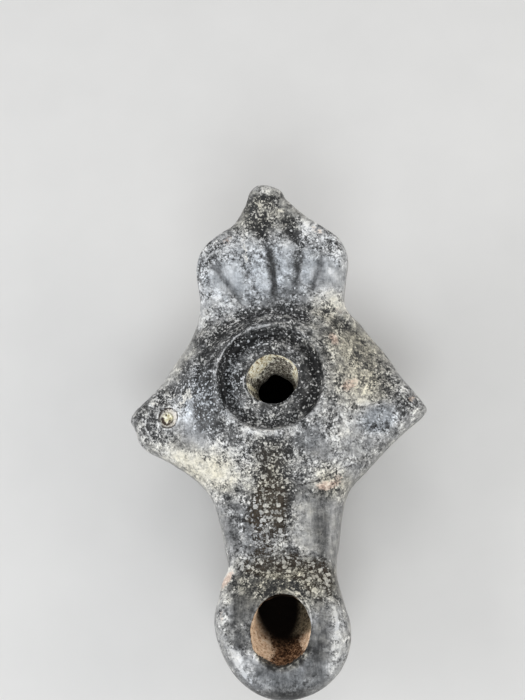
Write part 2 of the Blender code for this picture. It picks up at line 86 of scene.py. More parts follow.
# Nozzle
NECK_TOP = 24.9
NECK_SWELL = 3.4
NECK_SWELL_LENGTH = 9.0
NECK_HALF_WIDTH = 12.9
NECK_CROWN = 2.0
HEAD_CENTRE_Y = -56.0
HEAD_HALF_WIDTH = 15.0
HEAD_HALF_LENGTH = 16.4
HEAD_SQUARENESS = 2.15
HEAD_TWIST = 23.5
HEAD_TOP = 25.9
HEAD_FALL = 1.7
HEAD_DISC_Y = -57.6
HEAD_EDGE = (14.8, 17.4)
HEAD_VALLEY_RADIUS = 16.1
HEAD_VALLEY_DEPTH = 1.0
HEAD_VALLEY_WIDTH = 1.6
NOZZLE_TIP_RISE = 2.5
NOZZLE_KEEL = (3.2, 14.5)
NOZZLE_KEEL_Y = (-18.0, -70.0)
WICK_CENTRE_Y = -56.5
WICK_HALF_WIDTH = 6.8
WICK_HALF_LENGTH = 8.9
WICK_EGG = 0.1
WICK_SKEW = 0.05
WICK_RIM_DROP = 0.35

# Side lugs
LUG_AXIS_Y = -5.5
LUG_TOP = 26.4
LUG_SLOPE = 0.235
LUG_CROWN = 1.4
LUG_HALF_WIDTH = 11.0
LUG_UNDERSIDE = 15.6
LUG_HOLE_CENTRE = (-25.1, -6.7)
LUG_HOLE_RADIUS = 2.35
LUG_HOLE_WALL = 0.5
LUG_HOLE_DEPTH = 2.2

# Handle
HANDLE_START_Y = 16.0
HANDLE_SLOPE = 0.55
HANDLE_FACE = 25.9
HANDLE_PARTING = 22.5
HANDLE_THICKNESS = 6.8
HANDLE_KEEL = 5.0
HANDLE_KEEL_X = 1.2
HANDLE_KEEL_WIDTH = 5.5
HANDLE_KEEL_END = (24.0, 42.0)
HANDLE_VALLEY_RADIUS = 16.9
HANDLE_VALLEY_DEPTH = 1.5
HANDLE_VALLEY_WIDTH = 1.5
PALMETTE_ROOT = (4.0, 4.0)
LEAF_EDGES = (-46.0, -34.0, -20.5, -6.0, 9.5, 21.0, 34.0)
LEAF_LENGTHS = (30.0, 29.4, 28.6, 29.0, 28.6, 29.2)
LEAF_FADE = (15.5, 21.5)
LEAF_RISE = 1.2
EYE_CENTRES = ((-0.2, 35.0), (6.5, 35.0))
EYE_RADII = (2.3, 3.0)
EYE_DEPTH = 1.7

# Softness where the forms meet
EDGE_ROUNDING = 2.3
LUG_BLEND = 2.5
NECK_BLEND = 2.2
HANDLE_BLEND = 1.6
HANDLE_BACK_BLEND = 3.0

# Plan outline at the parting line
RIGHT_EDGE = (
    (2.4, 44.6), (4.7, 43.4), (5.8, 41.8), (10.2, 38.0), (14.3, 35.4), (17.9, 32.7), (19.6, 28.8),
    (18.7, 23.5), (18.3, 18.8), (22.1, 14.1), (27.1, 7.6), (30.9, 1.4), (35.3, -4.7),
    (36.2, -6.4), (35.3, -8.1), (28.9, -13.3), (21.7, -20.2), (16.9, -25.0), (15.0, -30.0),
    (13.8, -37.5), (12.9, -44.2),
)
LEFT_EDGE = (
    (-0.9, 44.8), (-2.6, 43.6), (-4.0, 41.2), (-7.2, 37.0), (-10.6, 35.4), (-15.2, 32.2), (-17.0, 28.4),
    (-16.8, 20.5), (-18.4, 16.0), (-24.2, 7.7), (-28.5, 1.8), (-34.2, -3.7), (-35.2, -5.6),
    (-33.9, -8.6), (-33.2, -11.2), (-31.2, -13.2), (-26.2, -16.2), (-19.5, -21.0), (-16.1, -25.3),
    (-14.2, -31.0), (-12.9, -38.0), (-12.2, -42.4), (-13.5, -45.3),
)

# Hollow
RESERVOIR = (
    (13.0, 6.0), (18.0, 9.2), (20.4, 14.0), (20.4, 18.0), (18.4, 22.0),
    (14.5, 24.4), (11.0, 24.4), (8.6, 22.4), (6.6, 19.0),
)
WICK_CHANNEL = (
    (-12.0, 14.5, 8.5, 6.0), (-26.0, 15.0, 8.4, 5.6), (-38.0, 16.0, 7.4, 4.6),
    (-46.5, 17.2, 6.5, 4.5), (-52.4, 19.4, 6.1, 5.2), (-55.3, 22.8, 6.4, 7.2),
    (-56.5, 26.2, 6.8, 8.9), (-56.6, 31.0, 6.9, 9.1),
)

# ---------------- fine steps of this model
OUTLINE_STEP = 0.5
TOP_RIM_ROWS = (0.1, 0.3, 0.6, 0.95, 1.35, 1.8, 2.3)
BOTTOM_RIM_ROWS = (0.12, 0.4, 0.9, 1.6, 2.4)
TOP_STEP = 0.3
BOTTOM_STEP = 0.75
LEAF_TIP_WEAR = (0.1, 0.3, 0.75, 0.75, 0.75, 0.6)  # share of each leaf's rise that is gone at its tip
HOLLOW_SEGMENTS = 120
CHANNEL_SEGMENTS = 96
FUNNEL_STEP = 0.45
# Dents in the two holes' edges: bearing and spread in radians, and depth as a share
THROAT_DENTS = ((2.3, 0.6, 1.0), (0.9, 0.5, 0.6))
WICK_LIP_DENTS = ((5.3, 0.6, 0.09), (3.9, 0.4, 0.05))
WICK_LIP_HEIGHTS = (24.0, 25.5)


# ---------------- small shape functions
def smoothstep(low, high, value):
    ramp = np.clip((value - low) / (high - low), 0.0, 1.0)
    return ramp * ramp * (3.0 - 2.0 * ramp)


def smooth_max(first, second, blend):
    overlap = np.clip(1.0 - np.abs(first - second) / blend, 0.0, 1.0)
    return np.maximum(first, second) + 0.25 * blend * overlap * overlap


def smooth_min(first, second, blend):
    return -smooth_max(-first, -second, blend)


def bump(distance, width):
    return np.exp(-((distance / width) ** 2))


# ---------------- noise over space
def lattice_hash(cell, seed):
    """Repeatable value from 0 to 1 for each whole-number lattice point."""
    mixed = np.full(cell.shape[0], seed, dtype=np.uint64)
    for axis, prime in enumerate((73856093, 19349663, 83492791)):
        mixed ^= (cell[:, axis].astype(np.int64) * prime).astype(np.uint64)
    mixed ^= mixed >> np.uint64(15)
    mixed = (mixed * np.uint64(2246822519)) & np.uint64(0xFFFFFFFF)
    mixed ^= mixed >> np.uint64(13)
    mixed = (mixed * np.uint64(3266489917)) & np.uint64(0xFFFFFFFF)
    mixed ^= mixed >> np.uint64(16)
    return (mixed & np.uint64(0xFFFFFF)).astype(float) / 0xFFFFFF


def value_noise(points, size, seed):
    """Smooth noise from -1 to 1 with features about size across."""
    scaled = points / size
    cell = np.floor(scaled)
    part = scaled - cell
    part = part * part * (3.0 - 2.0 * part)
    total = np.zeros(len(points))
    for corner in np.ndindex(2, 2, 2):
        weight = np.prod(np.where(np.array(corner), part, 1.0 - part), axis=1)
        total += weight * lattice_hash(cell + corner, seed)
    return 2.0 * total - 1.0


def rough_noise(points, size, seed, octaves=4):
    total = np.zeros(len(points))
    for octave in range(octaves):
        total += value_noise(points + 17.3 * octave, size * 0.5 ** octave, seed + octave) * 0.5 ** octave
    return total


# ---------------- plan outline
def head_arc():
    power = 2.0 / HEAD_SQUARENESS
    twist = math.radians(HEAD_TWIST)
    points = []
    for degrees in range(20, -209, -16):
        angle = math.radians(degrees) - twist
        across = HEAD_HALF_WIDTH * math.copysign(abs(math.cos(angle)) ** power, math.cos(angle))
        along = HEAD_HALF_LENGTH * math.copysign(abs(math.sin(angle)) ** power, math.sin(angle))
        points.append((across * math.cos(twist) - along * math.sin(twist),
                       HEAD_CENTRE_Y + across * math.sin(twist) + along * math.cos(twist)))
    return points


def closed_curve(points, step):
    points = np.array(points, dtype=float)
    count = len(points)
    dense = []
    for i in range(count):
        p0, p1, p2, p3 = (points[(i + k) % count] for k in (-1, 0, 1, 2))
        t1 = np.linalg.norm(p1 - p0) ** 0.5
        t2 = t1 + np.linalg.norm(p2 - p1) ** 0.5
        t3 = t2 + np.linalg.norm(p3 - p2) ** 0.5
        for t in np.linspace(t1, t2, 24, endpoint=False):
            a1 = p0 * (t1 - t) / t1 + p1 * t / t1
            a2 = p1 * (t2 - t) / (t2 - t1) + p2 * (t - t1) / (t2 - t1)
            a3 = p2 * (t3 - t) / (t3 - t2) + p3 * (t - t2) / (t3 - t2)
            b1 = a1 * (t2 - t) / t2 + a2 * t / t2
            b2 = a2 * (t3 - t) / (t3 - t1) + a3 * (t - t1) / (t3 - t1)
            dense.append(b1 * (t2 - t) / (t2 - t1) + b2 * (t - t1) / (t2 - t1))
    dense = np.array(dense)
    lengths = np.linalg.norm(np.roll(dense, -1, axis=0) - dense, axis=1)
    travelled = np.concatenate(([0.0], np.cumsum(lengths)))
    closed = np.vstack((dense, dense[:1]))
    stops = np.linspace(0.0, travelled[-1], max(8, round(travelled[-1] / step)), endpoint=False)
    return np.column_stack([np.interp(stops, travelled, closed[:, k]) for k in (0, 1)])


def edge_distance(points, outline):
    """Distance of each plan point from the outline, negative outside it."""
    points = np.atleast_2d(points)
    along = np.roll(outline, -1, axis=0) - outline
    squared = (along ** 2).sum(axis=1)
    nearest = np.full(len(points), np.inf)
    crossings = np.zeros(len(points), dtype=int)
    for origin, edge, length2 in zip(outline, along, squared):
        offset = points - origin
        t = np.clip(offset @ edge / length2, 0.0, 1.0)
        nearest = np.minimum(nearest, ((offset - t[:, None] * edge) ** 2).sum(axis=1))
        low, high = sorted((origin[1], origin[1] + edge[1]))
        level = (points[:, 1] >= low) & (points[:, 1] < high)
        if edge[1]:
            reach = origin[0] + offset[:, 1] * edge[0] / edge[1]
            crossings += level & (reach > points[:, 0])
    return np.sqrt(nearest) * np.where(crossings % 2, 1.0, -1.0)


# ---------------- heights over the plan
def parting_height(y):
    nozzle = NOZZLE_TIP_RISE * smoothstep(25.0, 72.0, -y)
    handle = HANDLE_PARTING + HANDLE_SLOPE * (y - HANDLE_START_Y)
    return (PARTING_HEIGHT + nozzle) + (handle - PARTING_HEIGHT) * smoothstep(9.0, 22.0, y)


def discus_profile(x, y):
    radius = np.hypot(x, y)
    crisp, worn = RING_OUTER_WIDTHS
    outer_width = crisp + (worn - crisp) * smoothstep(-8.0, 8.0, 0.5 * x - y)
    width = np.where(radius > RING_RADIUS, outer_width, RING_INNER_WIDTH)
    ring = RING_RISE * bump(radius - RING_RADIUS, width)
    trough_width = np.where(radius > TROUGH_RADIUS, *TROUGH_WIDTHS)
    trough = TROUGH_DEPTH * bump(radius - TROUGH_RADIUS, trough_width)
    collar = COLLAR_RISE * bump(radius - COLLAR_RADIUS, COLLAR_WIDTH)
    from_hole = np.hypot(x - FILLING_HOLE_CENTRE[0], y - FILLING_HOLE_CENTRE[1])
    lip = LIP_DROP * bump(from_hole - FILLING_HOLE_RADIUS, LIP_DROP)
    return (ring - trough + collar - lip) * (1.0 - smoothstep(*DISCUS_END, radius))


def bowl_top(radius):
    out = np.maximum(radius - SHOULDER_RADIUS, 0.0) / (BOWL_RADIUS - SHOULDER_RADIUS)
    return SHOULDER_HEIGHT - SHOULDER_DROP * out ** SHOULDER_CURVE


def lug_top(x, y):
    ridge = LUG_TOP - LUG_SLOPE * (np.abs(x) - SHOULDER_RADIUS)
    return ridge - LUG_CROWN * ((y - LUG_AXIS_Y) / LUG_HALF_WIDTH) ** 2


def wick_reach(x, y):
    return np.hypot(x / WICK_HALF_WIDTH, (y - WICK_CENTRE_Y) / WICK_HALF_LENGTH)


def nozzle_top(x, y):
    neck = NECK_TOP + NECK_SWELL * np.exp(np.minimum(0.0, (y + SHOULDER_RADIUS) / NECK_SWELL_LENGTH))
    neck = neck - NECK_CROWN * (x / NECK_HALF_WIDTH) ** 2
    neck = neck - 1.2 * np.maximum(0.0, y + 12.0)  # sinks out of sight inside the bowl
    radius = np.hypot(x, y - HEAD_DISC_Y)
    disc = HEAD_TOP - HEAD_FALL * (radius / HEAD_HALF_WIDTH) ** 2
    on_disc = 1.0 - smoothstep(*HEAD_EDGE, radius)
    valley = HEAD_VALLEY_DEPTH * bump(radius - HEAD_VALLEY_RADIUS, HEAD_VALLEY_WIDTH)
    valley = valley * smoothstep(-53.0, -46.5, y)
    rim = WICK_RIM_DROP * bump(wick_reach(x, y) - 1.0, 0.12)
    return neck + (disc - neck) * on_disc - valley - rim


def palmette(x, y):
    across, along = x - PALMETTE_ROOT[0], y - PALMETTE_ROOT[1]
    reach = np.hypot(across, along)
    angle = np.degrees(np.arctan2(across, along))
    relief = np.zeros_like(reach)
    for left, right, length, worn in zip(LEAF_EDGES, LEAF_EDGES[1:], LEAF_LENGTHS, LEAF_TIP_WEAR):
        half_width = math.radians(0.5 * (right - left)) * length
        side = (2.0 * angle - left - right) / (right - left)
        end = np.maximum(0.0, reach - length + half_width) / half_width
        leaf = np.clip(1.0 - side ** 2 - end ** 2, 0.0, 1.0)
        relief = np.maximum(relief, leaf * (1.0 - worn * smoothstep(0.7, 0.97, reach / length)))
    relief = LEAF_RISE * relief * smoothstep(*LEAF_FADE, reach)
    for eye_x, eye_y in EYE_CENTRES:
        eye = np.hypot((x - eye_x) / EYE_RADII[0], (y - eye_y) / EYE_RADII[1])
        relief = relief - EYE_DEPTH * bump(eye, 0.8)
    return relief


def handle_top(x, y):
    return HANDLE_FACE + HANDLE_SLOPE * (y - HANDLE_START_Y) + palmette(x, y)


def top_surface(x, y):
    radius = np.hypot(x, y)
    height = smooth_max(bowl_top(radius), lug_top(x, y), LUG_BLEND)
    height = smooth_max(height, nozzle_top(x, y), NECK_BLEND)
    height = smooth_max(height, handle_top(x, y), HANDLE_BLEND)
    behind_ring = smoothstep(3.0, 12.0, y - 0.35 * x)
    valley = HANDLE_VALLEY_DEPTH * bump(radius - HANDLE_VALLEY_RADIUS, HANDLE_VALLEY_WIDTH)
    height = height + discus_profile(x, y) - valley * behind_ring
    from_pit = np.hypot(x - LUG_HOLE_CENTRE[0], y - LUG_HOLE_CENTRE[1])
    in_pit = 1.0 - smoothstep(LUG_HOLE_RADIUS - LUG_HOLE_WALL, LUG_HOLE_RADIUS, from_pit)
    return height - LUG_HOLE_DEPTH * in_pit


def bowl_underside(x, y):
    out = np.maximum(np.hypot(x, y) - FOOT_RADIUS, 0.0) / (BOWL_RADIUS - FOOT_RADIUS)
    wall = (PARTING_HEIGHT - FOOT_STEP) * out ** BOWL_FLARE
    return FOOT_STEP * smoothstep(0.0, 0.05, out) + wall


def nozzle_underside(x, y):
    near_y, tip_y = NOZZLE_KEEL_Y
    near, tip = NOZZLE_KEEL
    along = np.clip((near_y - y) / (near_y - tip_y), 0.0, 1.0)
    keel = near + (tip - near) * along ** 1.25
    keel = keel + 1.6 * np.maximum(0.0, y - near_y)  # rises out of sight inside the bowl
    section = np.sqrt(np.clip(1.0 - (x / (HEAD_HALF_WIDTH + 1.0)) ** 2, 0.0, 1.0))
    return parting_height(y) + (keel - parting_height(y)) * section


def handle_back(x, y):
    back = HANDLE_FACE + HANDLE_SLOPE * (y - HANDLE_START_Y) - HANDLE_THICKNESS
    thinning = 1.0 - smoothstep(*HANDLE_KEEL_END, y)
    back = back - HANDLE_KEEL * bump(x - HANDLE_KEEL_X, HANDLE_KEEL_WIDTH) * thinning
    return back + 3.0 * np.maximum(0.0, HANDLE_START_Y - y)  # rises out of sight inside the bowl


def bottom_surface(x, y):
    lug = LUG_UNDERSIDE + 0.02 * (y - LUG_AXIS_Y) ** 2
    height = smooth_min(bowl_underside(x, y), nozzle_underside(x, y), NECK_BLEND)
    height = smooth_min(height, lug, LUG_BLEND)
    return smooth_min(height, handle_back(x, y), HANDLE_BACK_BLEND)


def rounded_to_edge(height, y, distance):
    parting = parting_height(y)
    inward = np.clip(distance / EDGE_ROUNDING, 0.0, 1.0)
    inward = np.where(inward < 1e-4, 0.0, inward)
    return parting + (height - parting) * np.sqrt(1.0 - (1.0 - inward) ** 2)


# ---------------- fine mesh
def rim_points(outline, offset):
    ahead = np.roll(outline, -1, axis=0) - np.roll(outline, 1, axis=0)
    inward = np.column_stack((ahead[:, 1], -ahead[:, 0])) / np.linalg.norm(ahead, axis=1)[:, None]
    moved = outline + inward * offset
    moved = moved[edge_distance(moved, outline) > 0.93 * offset]
    gap = 0.55 * OUTLINE_STEP
    kept = [moved[0]]
    for point in moved[1:]:
        if min(np.linalg.norm(point - kept[-1]), np.linalg.norm(point - kept[0])) > gap:
            kept.append(point)
    return np.array(kept)


def filled_grid(step, low, high):
    row_height = step * math.sqrt(0.75)
    rows = []
    for row, y in enumerate(np.arange(low[1], high[1], row_height)):
        xs = np.arange(low[0] + (row % 2) * step / 2.0, high[0], step)
        rows.append(np.column_stack((xs, np.full(len(xs), y))))
    return np.vstack(rows)


def sheet(outline, rim_rows, step):
    """Plan points and triangles over the outline."""
    points = [outline] + [rim_points(outline, offset) for offset in rim_rows]
    grid = filled_grid(step, outline.min(axis=0), outline.max(axis=0))
    points.append(grid[edge_distance(grid, outline) > rim_rows[-1] + 0.5 * step])
    ring = [(i, (i + 1) % len(outline)) for i in range(len(outline))]
    flat = [Vector(p) for p in np.vstack(points)]
    verts, _, faces, *_ = delaunay_2d_cdt(flat, ring, [], 0, 1e-6, False)
    plan = np.array([tuple(v) for v in verts])
    faces = np.array(faces)
    inside = edge_distance(plan[faces].mean(axis=1), outline) > 0.0
    return plan, faces[inside]


def mesh_from(verts, faces, name, weld=0.0):
    """Mesh with its faces turned outwards, and points closer than weld joined."""
    mesh = bpy.data.meshes.new(name)
    mesh.from_pydata([tuple(v) for v in verts * MILLIMETRE], [], [tuple(int(i) for i in f) for f in faces])
    mesh.validate()
    shape = bmesh.new()
    shape.from_mesh(mesh)
    if weld:
        bmesh.ops.remove_doubles(shape, verts=shape.verts, dist=weld)
    bmesh.ops.recalc_face_normals(shape, faces=shape.faces)
    shape.to_mesh(mesh)
    shape.free()
    return mesh


def placed(name, data):
    """A new object in the scene."""
    made = bpy.data.objects.new(name, data)
    bpy.context.scene.collection.objects.link(made)
    return made


def lamp_outline():
    return closed_curve(list(RIGHT_EDGE) + head_arc() + list(LEFT_EDGE)[::-1], OUTLINE_STEP)


def clay_mesh():
    """Both mould halves, welded along the parting line."""
    outline = lamp_outline()
    verts, faces, first = [], [], 0
    for rows, step, surface, flip in ((TOP_RIM_ROWS, TOP_STEP, top_surface, False),
                                      (BOTTOM_RIM_ROWS, BOTTOM_STEP, bottom_surface, True)):
        plan, triangles = sheet(outline, rows, step)
        x, y = plan[:, 0], plan[:, 1]
        z = rounded_to_edge(surface(x, y), y, np.abs(edge_distance(plan, outline)))
        verts.append(np.column_stack((x, y, z)))
        faces.append((triangles[:, ::-1] if flip else triangles) + first)
        first += len(plan)
    return mesh_from(np.vstack(verts), np.vstack(faces), "clay", 1e-7)


def tube_mesh(rings, name):
    """Closed tube through rings of points, capped at both ends."""
    rings = np.array(rings)
    count = rings.shape[1]
    faces = []
    for level in range(len(rings) - 1):
        for i in range(count):
            j = (i + 1) % count
            low, high = level * count, (level + 1) * count
            faces.append((low + i, low + j, high + j, high + i))
    faces.append(tuple(range(count))[::-1])
    faces.append(tuple((len(rings) - 1) * count + i for i in range(count)))
    return mesh_from(rings.reshape(-1, 3), faces, name)


def finer(stations, times):
    """Stations of a profile with smooth steps put in between."""
    stations = np.array(stations, dtype=float)
    padded = np.vstack((2.0 * stations[0] - stations[1], stations, 2.0 * stations[-1] - stations[-2]))
    out = []
    for i in range(1, len(padded) - 2):
        a, b, c, d = padded[i - 1:i + 3]
        for t in np.linspace(0.0, 1.0, times, endpoint=False):
            out.append(0.5 * (2.0 * b + (c - a) * t + (2.0 * a - 5.0 * b + 4.0 * c - d) * t ** 2
                              + (3.0 * b - a - 3.0 * c + d) * t ** 3))
    out.append(stations[-1])
    return np.array(out)


def full_turn(count):
    return np.linspace(0.0, 2.0 * math.pi, count, endpoint=False)


def reservoir_rings():
    angles = full_turn(HOLLOW_SEGMENTS)
    return [[(r * math.cos(a), r * math.sin(a), z) for a in angles] for r, z in RESERVOIR]


def noise_round(angles, z, radius, rise, size, seed, octaves=4):
    """Noise on a tube's wall, without a seam."""
    around = np.column_stack((radius * np.cos(angles), radius * np.sin(angles),
                              np.full(len(angles), rise * z)))
    return rough_noise(around, size, seed, octaves)


def dents(angles, entries):
    """How far each bearing on a tube's wall is pushed in."""
    return sum(depth * bump(angles - bearing, spread) for bearing, spread, depth in entries)


def filling_rings():
    """The punched funnel, a little uneven, with its lower lip pushed in on the handle's side."""
    angles = full_turn(HOLLOW_SEGMENTS)
    rings = []
    steps = np.arange(FILLING_THROAT_HEIGHT, SHOULDER_HEIGHT + 1.0, FUNNEL_STEP)
    for z in (FILLING_THROAT_HEIGHT - 2.0, *steps, SHOULDER_HEIGHT + 3.0):
        depth = np.clip((z - FILLING_THROAT_HEIGHT - 1.0) / 9.0, 0.0, 1.0)
        radius = FILLING_THROAT_RADIUS + (FILLING_HOLE_RADIUS - FILLING_THROAT_RADIUS) * depth
        radius = radius * (1.0 - 0.24 * (1.0 - depth) * dents(angles, THROAT_DENTS))
        ring = radius * (1.0 + 0.03 * noise_round(angles, z, 2.6, 0.35, 1.6, 11))
        rings.append(np.column_stack((FILLING_HOLE_CENTRE[0] + ring * np.cos(angles),
                                      FILLING_HOLE_CENTRE[1] + ring * np.sin(angles),
                                      np.full(len(angles), z))))
    return rings


def wick_channel_rings():
    """Oval bore that bends up into the wick hole, whose rim is chipped on the neck's side."""
    stations = finer(WICK_CHANNEL, 16)
    heading = np.gradient(stations[:, :2], axis=0)
    heading /= np.linalg.norm(heading, axis=1)[:, None]
    angles = full_turn(CHANNEL_SEGMENTS)
    rings = []
    for (y, z, wide, deep), (ahead_y, ahead_z) in zip(stations, heading):
        near_neck = smoothstep(0.1, 0.9, -np.sin(angles)) * smoothstep(*WICK_LIP_HEIGHTS, z)
        uneven = 1.0 + 0.02 * noise_round(angles, z, 3.0, 0.3, 1.5, 21)
        uneven += 0.05 * near_neck * noise_round(angles, z, 3.0, 0.3, 0.5, 23, 3)
        uneven -= near_neck * dents(angles, WICK_LIP_DENTS)
        lift = deep * np.sin(angles) * uneven
        along = y - lift * ahead_z
        across = wide * np.cos(angles) * (1.0 + WICK_EGG * np.sin(angles)) * uneven
        rings.append(np.column_stack((across + WICK_SKEW * (along - WICK_CENTRE_Y), along,
                                      z + lift * ahead_y)))
    return rings


def hollow_lamp():
    """The clay with its hollows cut out, as one mesh."""
    lamp = placed("oil_lamp", clay_mesh())
    cutters = []
    for name, rings in (("reservoir", reservoir_rings()), ("wick_channel", wick_channel_rings()),
                        ("filling_hole", filling_rings())):
        tool = placed(name, tube_mesh(rings, name))
        cut = lamp.modifiers.new(name, "BOOLEAN")
        cut.operation = "DIFFERENCE"
        cut.solver = "EXACT"
        cut.object = tool
        cutters.append(tool)
    mesh = bpy.data.meshes.new_from_object(lamp.evaluated_get(bpy.context.evaluated_depsgraph_get()))
    lamp.modifiers.clear()
    lamp.data = mesh
    mesh.name = "oil_lamp"
    for tool in cutters:
        bpy.data.objects.remove(tool, do_unlink=True)
    return lamp


# ---------------- traces of age, and painted light and shade, in plan
# Lines pressed between the palmette's leaves: strength, then the line's points.
GROOVES = (
    (0.7, ((-0.2, 33.0), (1.0, 30.2), (1.6, 27.2), (1.3, 24.6), (1.5, 21.4))),
    (0.3, ((4.6, 37.0), (6.6, 34.8), (8.0, 31.4), (8.1, 28.2), (7.5, 25.8))),
    (0.2, ((-5.4, 30.0), (-4.9, 27.3), (-4.4, 25.2))),
    (0.5, ((-13.2, 28.4), (-11.8, 27.2), (-10.9, 25.4), (-9.4, 24.5))),
    (0.3, ((13.1, 29.2), (13.2, 26.4), (12.0, 24.3))),
    (0.4, ((-14.6, 24.2), (-13.6, 21.6))),
)
CRACK = ((5.0, -24.8), (9.0, -24.1), (12.5, -22.5), (15.0, -21.1), (18.2, -20.2))
CRACK_BRANCH = ((14.2, -21.3), (15.0, -22.8), (15.6, -24.0))
# Thin pale lines: bare clay along the broken lip of the wick hole, beside the filling hole, and over
# the lugs and the handle, and painted highlights along the discus ring's crest and the head's edges.
PALE_LINES_AND_HIGHLIGHTS = (
    ((1.6, -48.3), (3.4, -49.4), (4.8, -51.4), (5.8, -53.8), (6.3, -56.6), (5.9, -59.4), (4.4, -61.8)),
    ((2.6, -47.9), (5.2, -50.0), (6.6, -53.0), (7.0, -56.0)),
    ((-6.4, 0.8), (-6.3, -1.6), (-5.2, -4.2), (-3.4, -5.9)),
    # painted highlight along the discus ring's crest
    ((-12.9, 1.0), (-12.2, 4.2), (-10.4, 7.6), (-7.6, 10.4), (-4.2, 12.2), (0.5, 12.9)),
    ((-29.6, -2.2), (-27.4, -0.9), (-24.8, -0.9)),
    ((-30.6, -4.6), (-31.0, -8.4), (-29.4, -11.6)),
    ((30.0, -2.8), (31.6, -5.6), (33.4, -6.8)),
    ((-5.4, 33.4), (-5.0, 30.4), (-4.6, 27.4)),
    ((-15.6, 27.4), (-13.4, 30.2), (-10.6, 31.2)),
    ((14.5, -20.2), (15.4, -22.4), (16.0, -24.2)),
    # painted highlights along the head's worn left and right edges
    ((-13.8, -58.0), (-12.9, -62.0), (-11.1, -65.4), (-8.6, -68.6)),
    ((13.4, -51.5), (14.1, -55.0), (13.9, -59.0), (12.4, -63.6)),
)
# Broader painted highlights along the head's worn edge: half width, then the line's points.
HEAD_EDGE_HIGHLIGHTS = (
    (0.35, ((-11.3, -60.6), (-10.6, -63.0), (-9.2, -65.8), (-7.2, -68.2))),
    (0.25, ((11.9, -52.6), (12.6, -55.4), (12.5, -58.6), (11.4, -61.8))),
)
